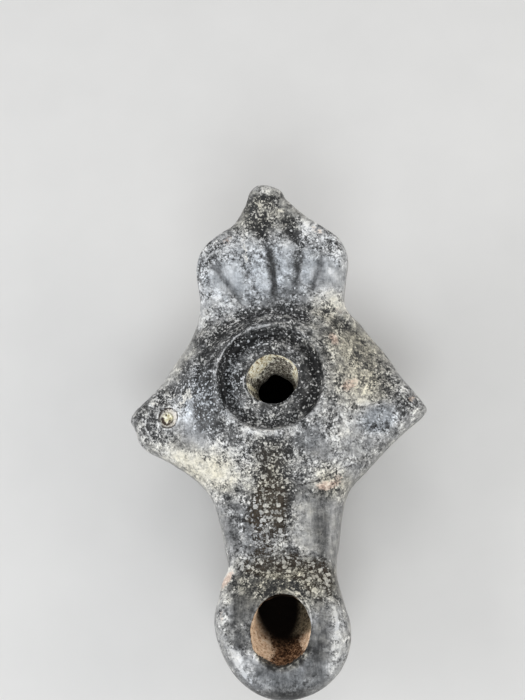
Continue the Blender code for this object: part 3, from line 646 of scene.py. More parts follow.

# Each patch is (x, y, half width, half length, value), and then the degrees that it is turned.
# How light the worn slip is, from 0 for sound black slip to 1; some patches also paint shade and highlights
WEAR_AND_LIGHT_SHADES = (
    # the bowl's shoulder
    (-20.5, 1.5, 3.6, 5, 0.4), (-16, -2, 2.2, 7.5, 0.15), (-15.2, 9.5, 2.4, 5.5, 0.2, 40),
    (-21, 7.5, 2.2, 6, 0.6, -40), (-1.5, 15.6, 10.5, 2, 0.2), (-11, 18, 3.8, 2.4, 0.8, 10),
    (-15, 16.5, 2.2, 3, 0.65), (-12.6, 15.8, 1.6, 1.4, 0.75), (13, 15.5, 3.8, 2.8, 0.6),
    (4, 16, 2, 1.4, 0.35), (16.5, 4, 3, 6, 0.6), (15.2, 10, 2.4, 2.4, 0.35), (23, 7, 5, 7.5, 0.5, 35),
    (8.5, -17.5, 4.6, 2.6, 0.55, -20), (5.5, -20.5, 3, 2.6, 0.55), (-7, -21.5, 3.2, 4.5, 0.95, -10),
    (-14, -15.6, 4.6, 2, 0.9, -20), (-15.5, -8, 2.6, 4.5, 0.25, 10), (18, 12.5, 3, 2.5, 0.45),
    (12.2, -1, 1.7, 2.8, 0.5), (12.4, 4.4, 1.7, 2, 0.2), (13, -20, 4, 2.4, 0.9, 15),
    (10.5, -24.4, 2.6, 1.8, 0.65), (12.4, 8.6, 1.8, 2.4, 0.6), (-11.8, 12.2, 2, 2, 0),
    (-20, -0.5, 2, 2, 0.05), (20.5, -19.5, 2, 1.5, 0.35), (24, -16.2, 2.4, 1.4, 0.45, 35),
    (8, -12, 2, 1.5, 0.45), (28, -12, 2, 1.4, 0.4), (-24.5, 4, 1.6, 2, 0.75),
    # the sunk discus, from the handle round to the left; its darkest patches are partly painted shade in
    # the trough
    (0, 8.6, 5, 1.8, 0.15), (-8.2, 8.2, 1.8, 2.4, 0, -42), (8.4, 0.5, 2.4, 3, 0),
    (8, 6.6, 2, 2.4, 0.35, -30), (8, -5, 2, 2.6, 0, 30), (4.5, -8, 3.5, 1.6, 0.2, 30),
    (-1, -8.4, 4, 1.5, 0.25), (-11.4, 0.5, 1, 6.5, 0.25), (-8.2, 0.5, 2, 5.5, 0.1),
    (-7.4, -6.4, 2, 1.4, 0.55, 45), (-8.6, -8.4, 2.2, 1.2, 0.75, 45), (4.4, 8.4, 2, 1.6, 0.35),
    (0, -12.9, 6, 1.2, 0.75), (-4, 8.2, 2.4, 1.6, 0.1, 20), (4.4, 11.8, 2.4, 1.6, 0.35, -20),
    (-7.6, 12.2, 2.2, 1.6, 0, 40),
    # the two lugs
    (-28, -8.6, 2, 2, 0.7), (-16.4, -23.6, 1.3, 2, 0.95), (-12, -24.2, 1.6, 2, 0.55),
    (20.5, -2.5, 4, 4, 0.7), (28.5, -1, 3.5, 4, 0.5, 35), (19.5, -8.5, 3.4, 3.4, 0.75, 20),
    (27, -8, 4, 2.6, 0.7, 20), (22, -14, 5, 2.2, 0.7, 35), (16, -14.5, 4, 3.6, 0.65),
    (30.8, -6.6, 1.6, 1.6, 0.4, 20), (30.8, -3.4, 1.8, 1.5, 0.65, 35), (12.2, -8.4, 1.8, 2, 0.65),
    (-21.5, -4.5, 3, 3.6, 1), (-25, -10, 3.5, 2, 0.7), (-29, -3.5, 2, 3, 0.5, 30),
    (-32.2, -4.4, 1.4, 1.4, 0.2), (-31.5, -7.5, 2.4, 3, 0.45, 15), (-20, -11, 6.5, 2.4, 0.6, -12),
    (-21, -17, 7.5, 2.2, 0.8, -24), (-13, -20.8, 5, 2.4, 0.95, -12), (-14.6, -25.5, 1.6, 3, 0.55, -10),
    # the neck
    (0.5, -16.5, 5, 1.6, 0.15), (-0.2, -24.5, 3.6, 8.5, 0.05, 5), (-0.6, -27, 2.4, 4.5, 0),
    (-2.8, -35.5, 3.2, 3, 0.5), (-9.5, -27.5, 3, 3, 0.55), (-10.8, -35.5, 2.6, 6, 0.35),
    (-6.8, -37.5, 2.4, 3.5, 0.6), (5.4, -33.5, 3, 6, 0.75), (11.2, -33, 2.4, 8, 0.42),
    (9, -27.5, 3, 2.5, 0.5), (0.5, -43.2, 11, 3, 0.3, -5), (0, -40.2, 8, 1.4, 0.4),
    (11.8, -41, 2, 4, 0.2), (-9.4, -43, 2.6, 2.4, 0.55), (6, -40, 2.6, 2, 0.6), (-4, -30.5, 2.4, 3, 0),
    (0.4, -29, 2.2, 2.8, 0), (-4.5, -20.5, 2.4, 2.2, 0.75), (4, -31.5, 1.6, 2.4, 0.75),
    (12.6, -28, 1.6, 2.4, 0.65),
    # the nozzle's head, with painted highlights on its lower left and right edges
    (-12, -44.2, 1.6, 1.8, 1, -40), (-12.6, -51.5, 1.6, 3, 0.95), (-4, -65.4, 2.6, 1.2, 0.35),
    (-4.4, -48.4, 2.4, 1.2, 0.3), (-9, -49.5, 2.6, 4, 0.4), (-1.5, -47, 4, 1.4, 0.3),
    (11.8, -47.5, 1.8, 4.5, 0.1, 20), (-9.2, -57, 2, 4.5, 0.4), (-12.8, -55, 1.6, 8, 0.55, 5),
    (-10, -62.8, 1.1, 1.9, 1, 32), (-7.2, -64, 1.6, 1.8, 0.75), (-12, -65, 1.4, 3, 0.35, 32),
    (-7, -69.6, 3, 1.6, 0.25, -25), (8.4, -54, 2, 5, 0.55), (8, -61, 2, 3, 0.35),
    (12.4, -57, 1.6, 5.6, 0.75), (11.4, -63, 1.8, 3, 0.6, -25), (1, -67.8, 4, 2, 0.5),
    (6.5, -68.4, 3, 1.8, 0.3, 25), (0.5, -71.4, 7, 1.5, 0.1),
    # the handle and its leaves, the leaves lightened partly as painted sheen
    (-13.5, 20, 3, 3, 0.9), (15.2, 19, 3.4, 2.8, 1), (9, 20.4, 3, 1.6, 0.55), (3.5, 20.4, 2.6, 1.6, 0.4),
    (-4.5, 20.4, 3, 1.6, 0.65), (-8.6, 20.6, 2, 1.6, 0.4), (-8.6, 26, 3.4, 4.2, 0.7, 20),
    (-14.6, 25.6, 2.4, 4, 0.7, 5), (-15.6, 29.4, 1.8, 2, 0.8), (-2.4, 26.5, 1.8, 5, 0.75),
    (4.7, 26.5, 2, 5.5, 0.7), (10.5, 27, 2, 4.5, 0.7, -5), (0, 24, 1.4, 1.6, 0.8), (6, 23.4, 2, 1.6, 0.4),
    (12, 23.4, 2.6, 1.6, 0.45), (16.2, 26.5, 2, 5.5, 0.75), (1.2, 27.5, 0.9, 4.5, 0.3),
    (-6, 32.4, 3.6, 1.6, 0.75, 20), (12.5, 33.6, 3.6, 1.8, 0.9, -32), (-11.5, 31.5, 2.4, 1.4, 0.4, 30),
    (-6.8, 36.4, 1.4, 2.6, 0.4, -40), (-1.2, 36, 1.8, 2.2, 0.1), (-1, 41, 1.8, 1.4, 0),
    (8, 28, 1.2, 2.4, 0.3), (0.2, 31.6, 1.6, 1.6, 0.65), (6.4, 35.4, 1.5, 2.6, 0.25, 25),
    (-2.6, 39.6, 1.6, 2.6, 0, -10), (4.6, 39.2, 1.4, 1.8, 0.65), (1.5, 41.2, 3.2, 0.6, 0.2, 8),
    (1.3, 43, 2.8, 0.9, 0.7, 8),
)
# Beige earth and lime: below the left lug, on the right lug and shoulder, round the lug's hole,
# on the handle, at the left corner of the nozzle head, and beside the crack
EARTH = (
    (-24.5, -15.6, 3.5, 1.5, 0.8, -30), (-19, -17.6, 5, 2.2, 1, -26), (-12.5, -21, 4.6, 2.2, 1, -12),
    (-14.8, -25.6, 1, 2.6, 0.6, -12), (-9.5, -17, 2.4, 2.4, 0.5), (21.2, -5.8, 1.6, 0.9, 1.7, 5),
    (17.5, -12.8, 1.6, 1.8, 0.7, 30), (15.3, 20.2, 2.4, 1.4, 1, 20), (17.2, -4.8, 1.4, 0.8, 0.8, -30),
    (15, 5, 1, 1.6, 0.55), (15.6, 10.4, 1.4, 1.8, 0.6, 10), (-21.4, -3.4, 1.3, 3.2, 0.62, -35),
    (-24.2, -1.6, 3, 1, 0.55, 10), (-19.4, -2, 1, 2, 0.5, 20), (-27.6, -9.6, 1.8, 0.9, 0.55, -40),
    (-28.6, -2.6, 1, 1.8, 0.65, 30), (-31.4, -11.2, 1, 1.6, 0.6, 40), (1.4, 43, 2.4, 0.8, 0.75, 10),
    (12.8, 34, 2.4, 1, 0.6, -32), (-4.8, 30.4, 0.8, 4, 0.6, 5), (-10.6, 33.2, 2.2, 0.9, 0.5, 25),
    (-11.8, -43.7, 1.6, 2, 1.1, -40), (14.8, -21.6, 0.9, 1.3, 0.8), (11.4, -24.6, 2.6, 1.2, 0.5, 10),
)
# Pinkish clay where the slip is gone
BARE_CLAY = (
    (15.2, 9.2, 1.5, 2.6, 0.62, 10), (18.3, -2, 3, 1.5, 0.62, 38), (11.4, -25, 2.8, 1.4, 0.68, 10),
    (14.6, -23.2, 1.6, 1.8, 0.45), (-12.2, -45.2, 1, 2.8, 0.85, -38), (12.8, 34, 2.2, 0.9, 0.5, -32),
    (-8.8, 33, 1.6, 1.2, 0.5, 20), (32.6, -4.6, 1.6, 1, 0.5, 35), (-13.4, -53.5, 0.9, 1.8, 0.45),
    (16.8, 16.8, 1.2, 1.2, 0.45),
)
# Small pale specks: on the neck, the shoulder, the discus, the handle and the nozzle head
FINE_LIME = (
    (-1.5, -20, 7, 7, 0.8), (-1, -29, 4, 6, 0.3), (-9.5, -17, 5.5, 4.5, 1), (-17, -2, 4, 10, 0.65),
    (-23, -3, 5, 4, 0.7), (0, 9.8, 9, 2.6, 0.6), (9.2, 1, 3.2, 9, 0.35), (-9.6, 0, 3, 8, 0.75),
    (0, -10.6, 8, 2.4, 0.9), (-13, 14, 5, 3, 0.5, 30), (2, 15.6, 10, 2, 0.6), (27, -2, 6, 7, 0.35, 30),
    (1, 38, 5, 3.5, 0.6), (-9, 32.6, 5, 2.2, 0.8, 20), (13, 31.5, 3.5, 2, 0.7, -35),
    (-15.4, 24, 1.6, 6, 0.6), (18, 26, 1.4, 6, 0.5), (9.5, -49, 3, 5, 0.6, 20),
    (-10.5, -49, 2.6, 4, 0.1, -10), (1, -71, 6, 1.2, 0.4),
)
# Large lime grains, down the neck and where it meets the head
COARSE_LIME = (
    (-2.5, -34.5, 4.5, 6, 0.8), (-1.5, -27, 4.5, 5, 0.4), (-1, -18.5, 5.5, 3.5, 0.2),
    (1.5, -43, 9.5, 2.6, 1, -5), (9, -46.8, 2.8, 3.6, 1, 25),
)
# Where the slip is smooth, with few specks
CALM = (
    (0, -66.5, 9, 4.5, 1), (8.5, -61, 3, 6, 1), (9.5, -54, 2.6, 6, 0.5), (-10, -56, 2.8, 6, 0.6),
    (-8.5, -51.5, 4, 3.4, 0.6), (8.4, -34, 4.4, 8, 1), (8.6, 0.5, 2, 3.5, 0.15),
    (-10, -62.8, 1.6, 2.6, 0.5, 32), (-21.5, -9, 5, 3, 0.6, -8), (12.5, -38, 2, 10, 0.6),
    (-10.5, -33, 3, 8, 0.3), (-10, 25, 4.5, 3.6, 0.85, 10), (-2, 24.5, 2.5, 3.6, 0.2),
    (0, 23.8, 15, 4.4, 0.4), (4.8, 28, 2.5, 5, 0.4), (14, 24.5, 4.5, 4, 0.9), (9, 27.5, 2, 3, 0.3),
    (-14.5, 18, 3, 3, 0.3), (-18.5, -13, 5.5, 2.6, 0.5, -10), (24.5, -8.8, 5, 2.8, 0.5, 20),
    (18, -15, 4, 3, 0.7, 20), (9.5, -16.5, 4, 2.5, 0.6, -20), (-22.5, 6.5, 2.4, 6, 0.4, -40),
    (20.5, 9, 3, 4, 0.4), (-8, -13.5, 4, 1.3, 0.3, 25), (-21, -17, 7, 1.8, 0.3, -24),
)
# Where it is speckled most sharply
LIVELY = (
    (-2, -18.5, 6.5, 5, 0.7), (-2.5, -28, 5, 8, 0.3), (-16, 27, 2.6, 6, 0.6), (-11, 33, 4, 2.4, 0.5, 20),
    (17, 31, 2.6, 4, 0.5, 20), (-1, 40, 4, 4, 0.3), (-29, -5, 5, 7, 0.4), (-31, -12, 4, 3, 0.6, 30),
    (-23, -2.5, 4, 3.5, 0.4), (31, -6, 4, 4, 0.5), (-8, -21, 3, 4.5, 0.3), (0, -44.5, 9, 2.4, 0.3),
    (4, 12, 6, 2, 0.3),
)
# Full scale of the stored masks: of liveliness, and of two distances
LIVELIEST = 1.8
LINE_REACH = 3.0
PIT_REACH = 5.0
UNDERSIDE_TONE = 0.40
# Where the grey leans to beige, and where to blue; the blue is partly a painted sheen
WARM = (
    (20, 7, 8, 9, 0.5, 30), (21, -3, 7, 5, 0.4), (14, 18, 5, 4, 0.35), (-1, -24, 4.5, 9, 0.35),
    (7, -34.5, 4.5, 7, 0.1), (13, -24, 4.5, 4, 0.4), (1, -47, 13, 6, 0.5), (0, 38.5, 9, 5, 0.3),
    (-17, -19, 11, 5, 0.45, -25), (-21, 8, 3, 8, 0.15, -40),
)
COOL_AND_SHEEN = (
    (0, 25.5, 19, 7.5, 0.42), (-17, -5, 5.5, 9, 0.5), (-5, 8.5, 6, 3, 0.25, 30), (-9, -1, 3, 8, 0.3),
    (24.5, -9.5, 4.5, 3.5, 0.6, 20), (-7, -33, 5, 6, 0.15), (0, -67, 10, 4, 0.3), (9, -14, 4, 3.5, 0.2),
)
# Outlined flakes of darker slip
FLAKES = (
    (-30.5, -7, 3.4, 5.5, 1.5, 10), (-24, -3, 6, 3.4, 1.3, 10), (31, -5.4, 3, 2.4, 0.9, 20),
    (-12.5, 31, 4.5, 2.6, 0.8, 25), (-15, 23.5, 2, 6, 0.7, 5), (13.5, 15.5, 4, 3, 0.7),
    (20.5, -4, 7, 6, 0.5), (12, -12.5, 5, 3, 0.6), (-16, 1, 4, 6, 0.4),
)
# How deep, high or wide single traces are
GROOVE_DEPTH = 0.25
GROOVE_WIDTH = 0.8
CRACK_DEPTH = 0.15
CRACK_WIDTH = 0.3
BREAK_ROUGHNESS = 0.22
TIP_LIP_RISE = 0.10
TIP_STEP_DROP = 0.18
PIT_EARTH_RISE = 1.6
PIT_RING_RISE = 0.15
PIT_RING_WIDTH = 0.3
PIT_RING_GAP = 0.4  # between the lug's hole and the middle of its raised rim
# Where single traces lie: a pair is where one begins and where it is full
LUG_BREAK_X = (-31.0, -34.5)
PIT_FOOT = 20.0
PIT_EARTH_EDGE = (1.9, 2.3)
TIP_LIP_Y = 43.0
TIP_STEP_Y = 41.2
RIM_BAND = (3.0, 1.2)
DARK_FRONT_Y = (-71.5, -67.0)
FUNNEL_FOOT = (18.0, 21.5)
FRONT_LIP_Y = (-59.5, -63.0)
FRONT_WALL_Y = (-60.5, -63.5)
WICK_WALL_FOOT = 12.5
WICK_WALL_HEIGHTS = (13.0, 15.5)
WICK_FLOOR = 8.0
RIGHT_WALL_BACK_Y = (-49.0, -51.0)
RIGHT_WALL_FRONT_Y = (-58.5, -56.5)
# where the wick channel is painted near black as shade: under the neck, and below these heights
UNDER_NECK_Y = (-51.5, -49.5)
DEEP_SHADE_HEIGHTS = (20.0, 16.5)
DARK_MOUTH = (-0.4, -52.0, 4.0, 6.5)  # centre and half sizes of the dark end of the channel
# Dark spots in the earth that fills the lug's hole: x and y from its centre, and width.
PIT_SPOTS = ((-1.35, -0.1, 0.8), (0.85, -0.75, 0.75), (-0.9, -1.3, 0.6), (0.2, -1.8, 0.6), (-0.2, 0.9, 0.3))
# On the filling hole's wall, as bearing in degrees and depth: lime from the left round to the right.
CRUST = (
    (128, 2.6, 34, 2.8, 1.7), (150, 5, 16, 3, 0.55), (188, 4.6, 7, 5, 1.2), (212, 1.8, 14, 1.4, 0.5),
    (80, 0.7, 30, 0.8, 1), (85, 2.4, 26, 1.8, 0.2), (40, 0.8, 26, 0.9, 1.2), (16, 3.6, 15, 2.8, 1.4),
)
# On the same wall, a painted shadow low down on its right, towards the nozzle.
FUNNEL_SHADOW = ((-25, 9, 34, 6, 0.8),)
# On the wall of the wick hole, where the fired clay is not sooty.
TAN_WALL = (
    (-5.3, -56.8, 2.2, 5.2, 1.4, 6), (-4.2, -61.6, 2.4, 2, 0.9, -35), (5.2, -58.8, 1.6, 3, 1.1),
)


def oval(x, y, patch):
    """Soft oval: 1 at the patch's centre and falling away past its edge."""
    centre_x, centre_y, half_width, half_length, _, *turned = patch
    turn = math.radians(sum(turned))
    across = (x - centre_x) * math.cos(turn) + (y - centre_y) * math.sin(turn)
    along = -(x - centre_x) * math.sin(turn) + (y - centre_y) * math.cos(turn)
    return np.exp(-((across / half_width) ** 2 + (along / half_length) ** 2) ** 1.5)


def patches(x, y, entries):
    return sum(patch[4] * oval(x, y, patch) for patch in entries)


def shade(x, y, ground):
    """Lightness blended from the patches around each place, or the ground away from them."""
    total, weight = np.full_like(x, 0.15 * ground), np.full_like(x, 0.15)
    for patch in WEAR_AND_LIGHT_SHADES:
        near = oval(x, y, patch)
        total += near * patch[4]
        weight += near
    return total / weight


def path_distance(x, y, path):
    """Distance in plan from a line through the path's points."""
    nearest = np.full(len(x), np.inf)
    for (x0, y0), (x1, y1) in zip(path, path[1:]):
        length2 = (x1 - x0) ** 2 + (y1 - y0) ** 2
        t = np.clip(((x - x0) * (x1 - x0) + (y - y0) * (y1 - y0)) / length2, 0.0, 1.0)
        nearest = np.minimum(nearest, np.hypot(x - x0 - t * (x1 - x0), y - y0 - t * (y1 - y0)))
    return nearest


def read(items, key, kind, width):
    """One row of numbers for each item."""
    values = np.empty(len(items) * width, dtype=kind)
    items.foreach_get(key, values)
    return values.reshape(-1, width)


class Surface:
    """The lamp's vertices in millimetres, with their normals and neighbours."""

    def __init__(self, mesh):
        self.mesh = mesh
        self.place = read(mesh.vertices, "co", float, 3) / MILLIMETRE
        self.normal = read(mesh.vertex_normals, "vector", np.float32, 3).astype(float)
        edges = read(mesh.edges, "vertices", np.int32, 2)
        self.ends = np.concatenate((edges[:, 0], edges[:, 1]))
        self.others = np.concatenate((edges[:, 1], edges[:, 0]))
        self.valence = np.bincount(self.ends, minlength=len(mesh.vertices))

    def averaged(self, values, rounds):
        """Values spread over neighbours, round after round."""
        for _ in range(rounds):
            spread = [np.bincount(self.ends, weights=values[self.others, k], minlength=len(values))
                      for k in range(values.shape[1])]
            values = 0.5 * values + 0.5 * np.column_stack(spread) / self.valence[:, None]
        return values

    def cavity(self, rounds):
        """Depth below the spread-out surface, positive in hollows and negative on edges."""
        return ((self.averaged(self.place, rounds) - self.place) * self.normal).sum(axis=1)

    def push(self, distance):
        self.place = self.place + self.normal * distance[:, None]

    def write_back(self):
        self.mesh.vertices.foreach_set("co", (self.place * MILLIMETRE).ravel())
        self.mesh.update()

    def store(self, name, values):
        layer = self.mesh.attributes.new(name, "FLOAT", "POINT")
        layer.data.foreach_set("value", np.clip(values, 0.0, 1.0).astype(np.float32))


def weather(lamp):
    """Age the clay's shape, then store the masks that its material reads."""
    skin = Surface(lamp.data)
    x, y, z = skin.place.T
    point = skin.place.copy()

    # where each point lies
    hole_x, hole_y = x - FILLING_HOLE_CENTRE[0], y - FILLING_HOLE_CENTRE[1]
    below_top = top_surface(x, y) - z
    from_edge = edge_distance(point[:, :2], lamp_outline())
    inside = (from_edge > EDGE_ROUNDING) & (below_top > 0.3) & (z - bottom_surface(x, y) > 0.9)
    in_funnel = inside & (np.hypot(hole_x, hole_y) < FILLING_HOLE_RADIUS + 0.4)
    in_funnel = in_funnel & (z > FILLING_THROAT_HEIGHT - 1.0)
    near_wick = inside & (wick_reach(x, y) < 1.2)
    in_wick = near_wick & (z > WICK_WALL_FOOT)
    hidden = inside & ~in_funnel & ~in_wick
    outside = ~inside
    upward = smoothstep(-0.1, 0.35, skin.normal[:, 2]) * outside
    pit_x, pit_y = x - LUG_HOLE_CENTRE[0], y - LUG_HOLE_CENTRE[1]
    from_pit = np.hypot(pit_x, pit_y)

    # what happened there
    groove = np.zeros_like(x)
    for strength, path in GROOVES:
        groove = np.maximum(groove, strength * bump(path_distance(x, y, path), GROOVE_WIDTH))
    groove *= upward * (y > HANDLE_START_Y)
    pit_fill = (1.0 - smoothstep(*PIT_EARTH_EDGE, from_pit)) * (z > PIT_FOOT)
    pit_ring = bump(from_pit - LUG_HOLE_RADIUS - PIT_RING_GAP, PIT_RING_WIDTH) * upward
    broken = smoothstep(*LUG_BREAK_X, x)
    crack = np.minimum(path_distance(x, y, CRACK), path_distance(x, y, CRACK_BRANCH) + 0.1)
    # pale lines of bare clay, and painted highlights
    pale_line_and_highlight = np.min([path_distance(x, y, path) for path in PALE_LINES_AND_HIGHLIGHTS], axis=0)
    for half_width, path in HEAD_EDGE_HIGHLIGHTS:
        pale_line_and_highlight = np.minimum(pale_line_and_highlight, path_distance(x, y, path) - half_width)
    tip_lip = bump(y - TIP_LIP_Y, 1.0) * upward
    tip_step = bump(y - TIP_STEP_Y - 0.12 * x, 0.5) * upward * (y > TIP_STEP_Y - 3.2)

    relief = 0.10 * rough_noise(point, 9.0, 1, 2) + 0.05 * rough_noise(point, 2.2, 3, 3)
    relief -= GROOVE_DEPTH * groove
    relief += pit_fill * (PIT_EARTH_RISE + 0.25 * value_noise(point, 0.9, 5))
    relief += PIT_RING_RISE * pit_ring
    relief += BREAK_ROUGHNESS * broken * rough_noise(point, 1.6, 7, 3)
    relief -= CRACK_DEPTH * bump(crack, CRACK_WIDTH) * upward
    relief += TIP_LIP_RISE * tip_lip - TIP_STEP_DROP * tip_step
    relief += (in_funnel | in_wick) * 0.12 * rough_noise(point, 1.3, 9, 3)
    skin.push(relief * smoothstep(0.05, 0.6, z))
    skin.write_back()

    # lightness, from 0 to 1
    skin = Surface(lamp.data)
    fine = skin.cavity(8)
    broad = skin.cavity(60)
    radius = np.hypot(x, y)
    toward_nozzle = np.clip(-y / np.maximum(radius, 1.0), 0.0, 1.0)
    in_trough = bump(radius - TROUGH_RADIUS - 0.2, 1.1) * upward
    rim_band = smoothstep(*RIM_BAND, from_edge) * outside
    wick_lip = bump((wick_reach(x, y) - 1.03) * WICK_HALF_LENGTH, 0.8) * outside
    wick_lip *= smoothstep(*FRONT_LIP_Y, y)
    tone = UNDERSIDE_TONE + (shade(x, y, 0.50) - UNDERSIDE_TONE) * upward
    tone += 0.06 * rough_noise(point, 5.0, 31, 3)
    # the discus trough darker, partly painted shade and partly dark slip left in it, most on the handle's
    # side
    tone -= in_trough * (0.22 - 0.17 * toward_nozzle ** 2)
    # painted highlight along the outer slope of the discus ring
    tone += 0.05 * bump(radius - RING_RADIUS - 0.5, 0.7) * upward
    # painted shade in the grooves between the leaves
    tone -= groove * (0.10 + 0.10 * value_noise(point, 1.2, 37))
    tone += pit_ring * (0.16 + 0.2 * value_noise(point, 1.0, 35))
    tone -= (0.10 + 0.4 * value_noise(point, 0.6, 39)) * wick_lip
    tone += rim_band * 0.5 * smoothstep(*DARK_FRONT_Y, y) * (0.52 - tone)
    skin.store("tone", tone)
    edge = np.clip(-fine / 0.05, 0.0, 1.0) + 0.6 * np.clip(-broad / 0.5, 0.0, 1.0)
    skin.store("edge", edge * outside)
    # darker in hollows: painted shade, with dirt
    skin.store("hollow_dirt_and_shade", np.clip(broad / 0.35, 0.0, 1.0) + 0.5 * np.clip(fine / 0.05, 0.0, 1.0))

    # what lies on the slip, and how worn it is
    for name, entries in (("coarse_lime", COARSE_LIME), ("flakes", FLAKES), ("earth", EARTH),
                          ("bare_clay", BARE_CLAY)):
        skin.store(name, patches(x, y, entries) * upward)
    skin.store("fine_lime", 0.15 + (0.2 + patches(x, y, FINE_LIME)) * upward - 0.5 * rim_band)
    calm = 0.4 * rim_band + patches(x, y, CALM) * upward + 0.75 * (1.0 - upward)
    calm = np.clip(calm + 0.22 * in_trough * (1.0 - toward_nozzle), 0.0, 1.0)
    skin.store("calm", calm)
    skin.store("lively", (1.0 - 0.9 * calm + patches(x, y, LIVELY) * upward) / LIVELIEST)
    # beige against blue, the blue partly a painted sheen
    warmth_and_sheen = 0.45 + (patches(x, y, WARM) - patches(x, y, COOL_AND_SHEEN)) * upward + 0.15 * (1.0 - upward)
    skin.store("warmth_and_sheen", warmth_and_sheen + 0.5 * wick_lip)
    on_top = (below_top < 0.6) & (upward > 0.3)
    skin.store("line_and_highlight_reach", np.where(on_top, pale_line_and_highlight, LINE_REACH) / LINE_REACH)
    skin.store("crack", np.where(outside, crack, 9.0) / LINE_REACH)

    # the hole in the left lug
    skin.store("pit_earth", pit_fill)
    pit_spots = sum(bump(np.hypot(pit_x - at_x, pit_y - at_y), width) for at_x, at_y, width in PIT_SPOTS)
    skin.store("pit_dark", pit_spots * pit_fill)
    by_pit = outside | (from_pit < 3.0) & (z > PIT_FOOT)
    skin.store("pit_reach", np.where(by_pit, from_pit, PIT_REACH) / PIT_REACH)

    # the filling hole and the wick hole
    skin.store("funnel", in_funnel * smoothstep(*FUNNEL_FOOT, z))
    bearing = np.degrees(np.arctan2(hole_y, hole_x))
    bearing = np.where(bearing < -90.0, bearing + 360.0, bearing)
    skin.store("crust", in_funnel * patches(bearing, below_top, CRUST))
    front_lip = smoothstep(4.0, 1.2, below_top) * smoothstep(*FRONT_WALL_Y, y)
    skin.store("wick_wall", in_wick * smoothstep(*WICK_WALL_HEIGHTS, z) * (1.0 - 0.7 * front_lip))
    skin.store("tan", in_wick * patches(x, y, TAN_WALL))
    # painted dim shade on the wick hole's right wall, outside the channel's dark end
    right_wall = near_wick * (z > WICK_FLOOR)
    right_wall = right_wall * smoothstep(*RIGHT_WALL_BACK_Y, y) * smoothstep(*RIGHT_WALL_FRONT_Y, y)
    dark_x, dark_y, dark_half_width, dark_half_length = DARK_MOUTH
    from_dark = np.hypot((x - dark_x) / dark_half_width, (y - dark_y) / dark_half_length)
    skin.store("right_wall_shade", right_wall * smoothstep(0.85, 1.3, from_dark) * smoothstep(0.5, 2.5, x))
    # painted shadow on the filling hole's wall
    shadowed = in_funnel * patches(bearing, below_top, FUNNEL_SHADOW)
    deep = np.maximum(smoothstep(*DEEP_SHADE_HEIGHTS, z), smoothstep(*UNDER_NECK_Y, y))
    # near black painted shade: hidden inner walls, the funnel's shadow, deep in the wick channel and under
    # the neck
    skin.store("dark_inside", hidden + shadowed + in_wick * deep)


# ---------------- material
# Rings round the earth in the lug's hole
PALE_RING_RADIUS = 2.175
DARK_RING_RADIUS = 2.425
# Greys of the slip: lightness, and how white it is there
GREYS = ((0.08, 0.004), (0.25, 0.024), (0.40, 0.094), (0.55, 0.21), (0.70, 0.38), (0.85, 0.61), (1.0, 0.86))


class Graph:
    """A material and short names for building its nodes."""

    def __init__(self, name):
        self.material = bpy.data.materials.new(name)
        self.material.use_nodes = True
        self.tree = self.material.node_tree
        self.shader = self.tree.nodes["Principled BSDF"]

    def link(self, value, socket):
        if hasattr(value, "is_output"):
            self.tree.links.new(value, socket)
        else:
            socket.default_value = value

    def node(self, kind, inputs, **settings):
        made = self.tree.nodes.new("ShaderNode" + kind)
        for name, value in settings.items():
            setattr(made, name, value)
        for key, value in inputs.items():
            self.link(value, made.inputs[key])
        return made

    def math(self, operation, *values):
        return self.node("Math", dict(enumerate(values)), operation=operation).outputs[0]

    def vector(self, operation, *values):
        return self.node("VectorMath", dict(enumerate(values)), operation=operation).outputs[0]

    def less(self, first, second):
        return self.math("SUBTRACT", first, second)

    def times(self, first, second):
        return self.math("MULTIPLY", first, second)

    def most(self, highest, *others):
        for other in others:
            highest = self.math("MAXIMUM", highest, other)
        return highest

    def add(self, value, share, to):
        return self.math("MULTIPLY_ADD", value, share, to)

    def vary(self, noise, amount, to):
        """Add noise, centred on zero, to a value."""
        return self.add(self.less(noise, 0.5), amount, to)

    def ramp(self, value, low, high, *to):
        """Smooth ramp of a value between two ends, to 0 and 1 or to two other ends."""
        ends = dict(enumerate((value, low, high, *to)))
        return self.node("MapRange", ends, interpolation_type="SMOOTHSTEP", clamp=True).outputs[0]

    def blend(self, amount, first, second):
        return self.node("Mix", {0: amount, 2: first, 3: second}, data_type="FLOAT").outputs[0]

    def mix(self, amount, first, second, kind="MIX"):
        ends = {0: amount, 6: first, 7: second}
        return self.node("Mix", ends, data_type="RGBA", blend_type=kind).outputs[2]

    def mask(self, name):
        return self.node("Attribute", {}, attribute_name=name).outputs["Fac"]

    def noise(self, where, scale, detail, roughness, output="Fac"):
        look = {"Vector": where, "Scale": scale, "Detail": detail, "Roughness": roughness}
        return self.node("TexNoise", look).outputs[output]

    def colours(self, value, *stops):
        made = self.node("ValToRGB", {0: value})
        ramp = made.color_ramp
        while len(ramp.elements) < len(stops):
            ramp.elements.new(0.5)
        for element, (position, colour) in zip(ramp.elements, stops):
            element.position = position
            element.color = (*colour, 1.0)
        return made.outputs[0]


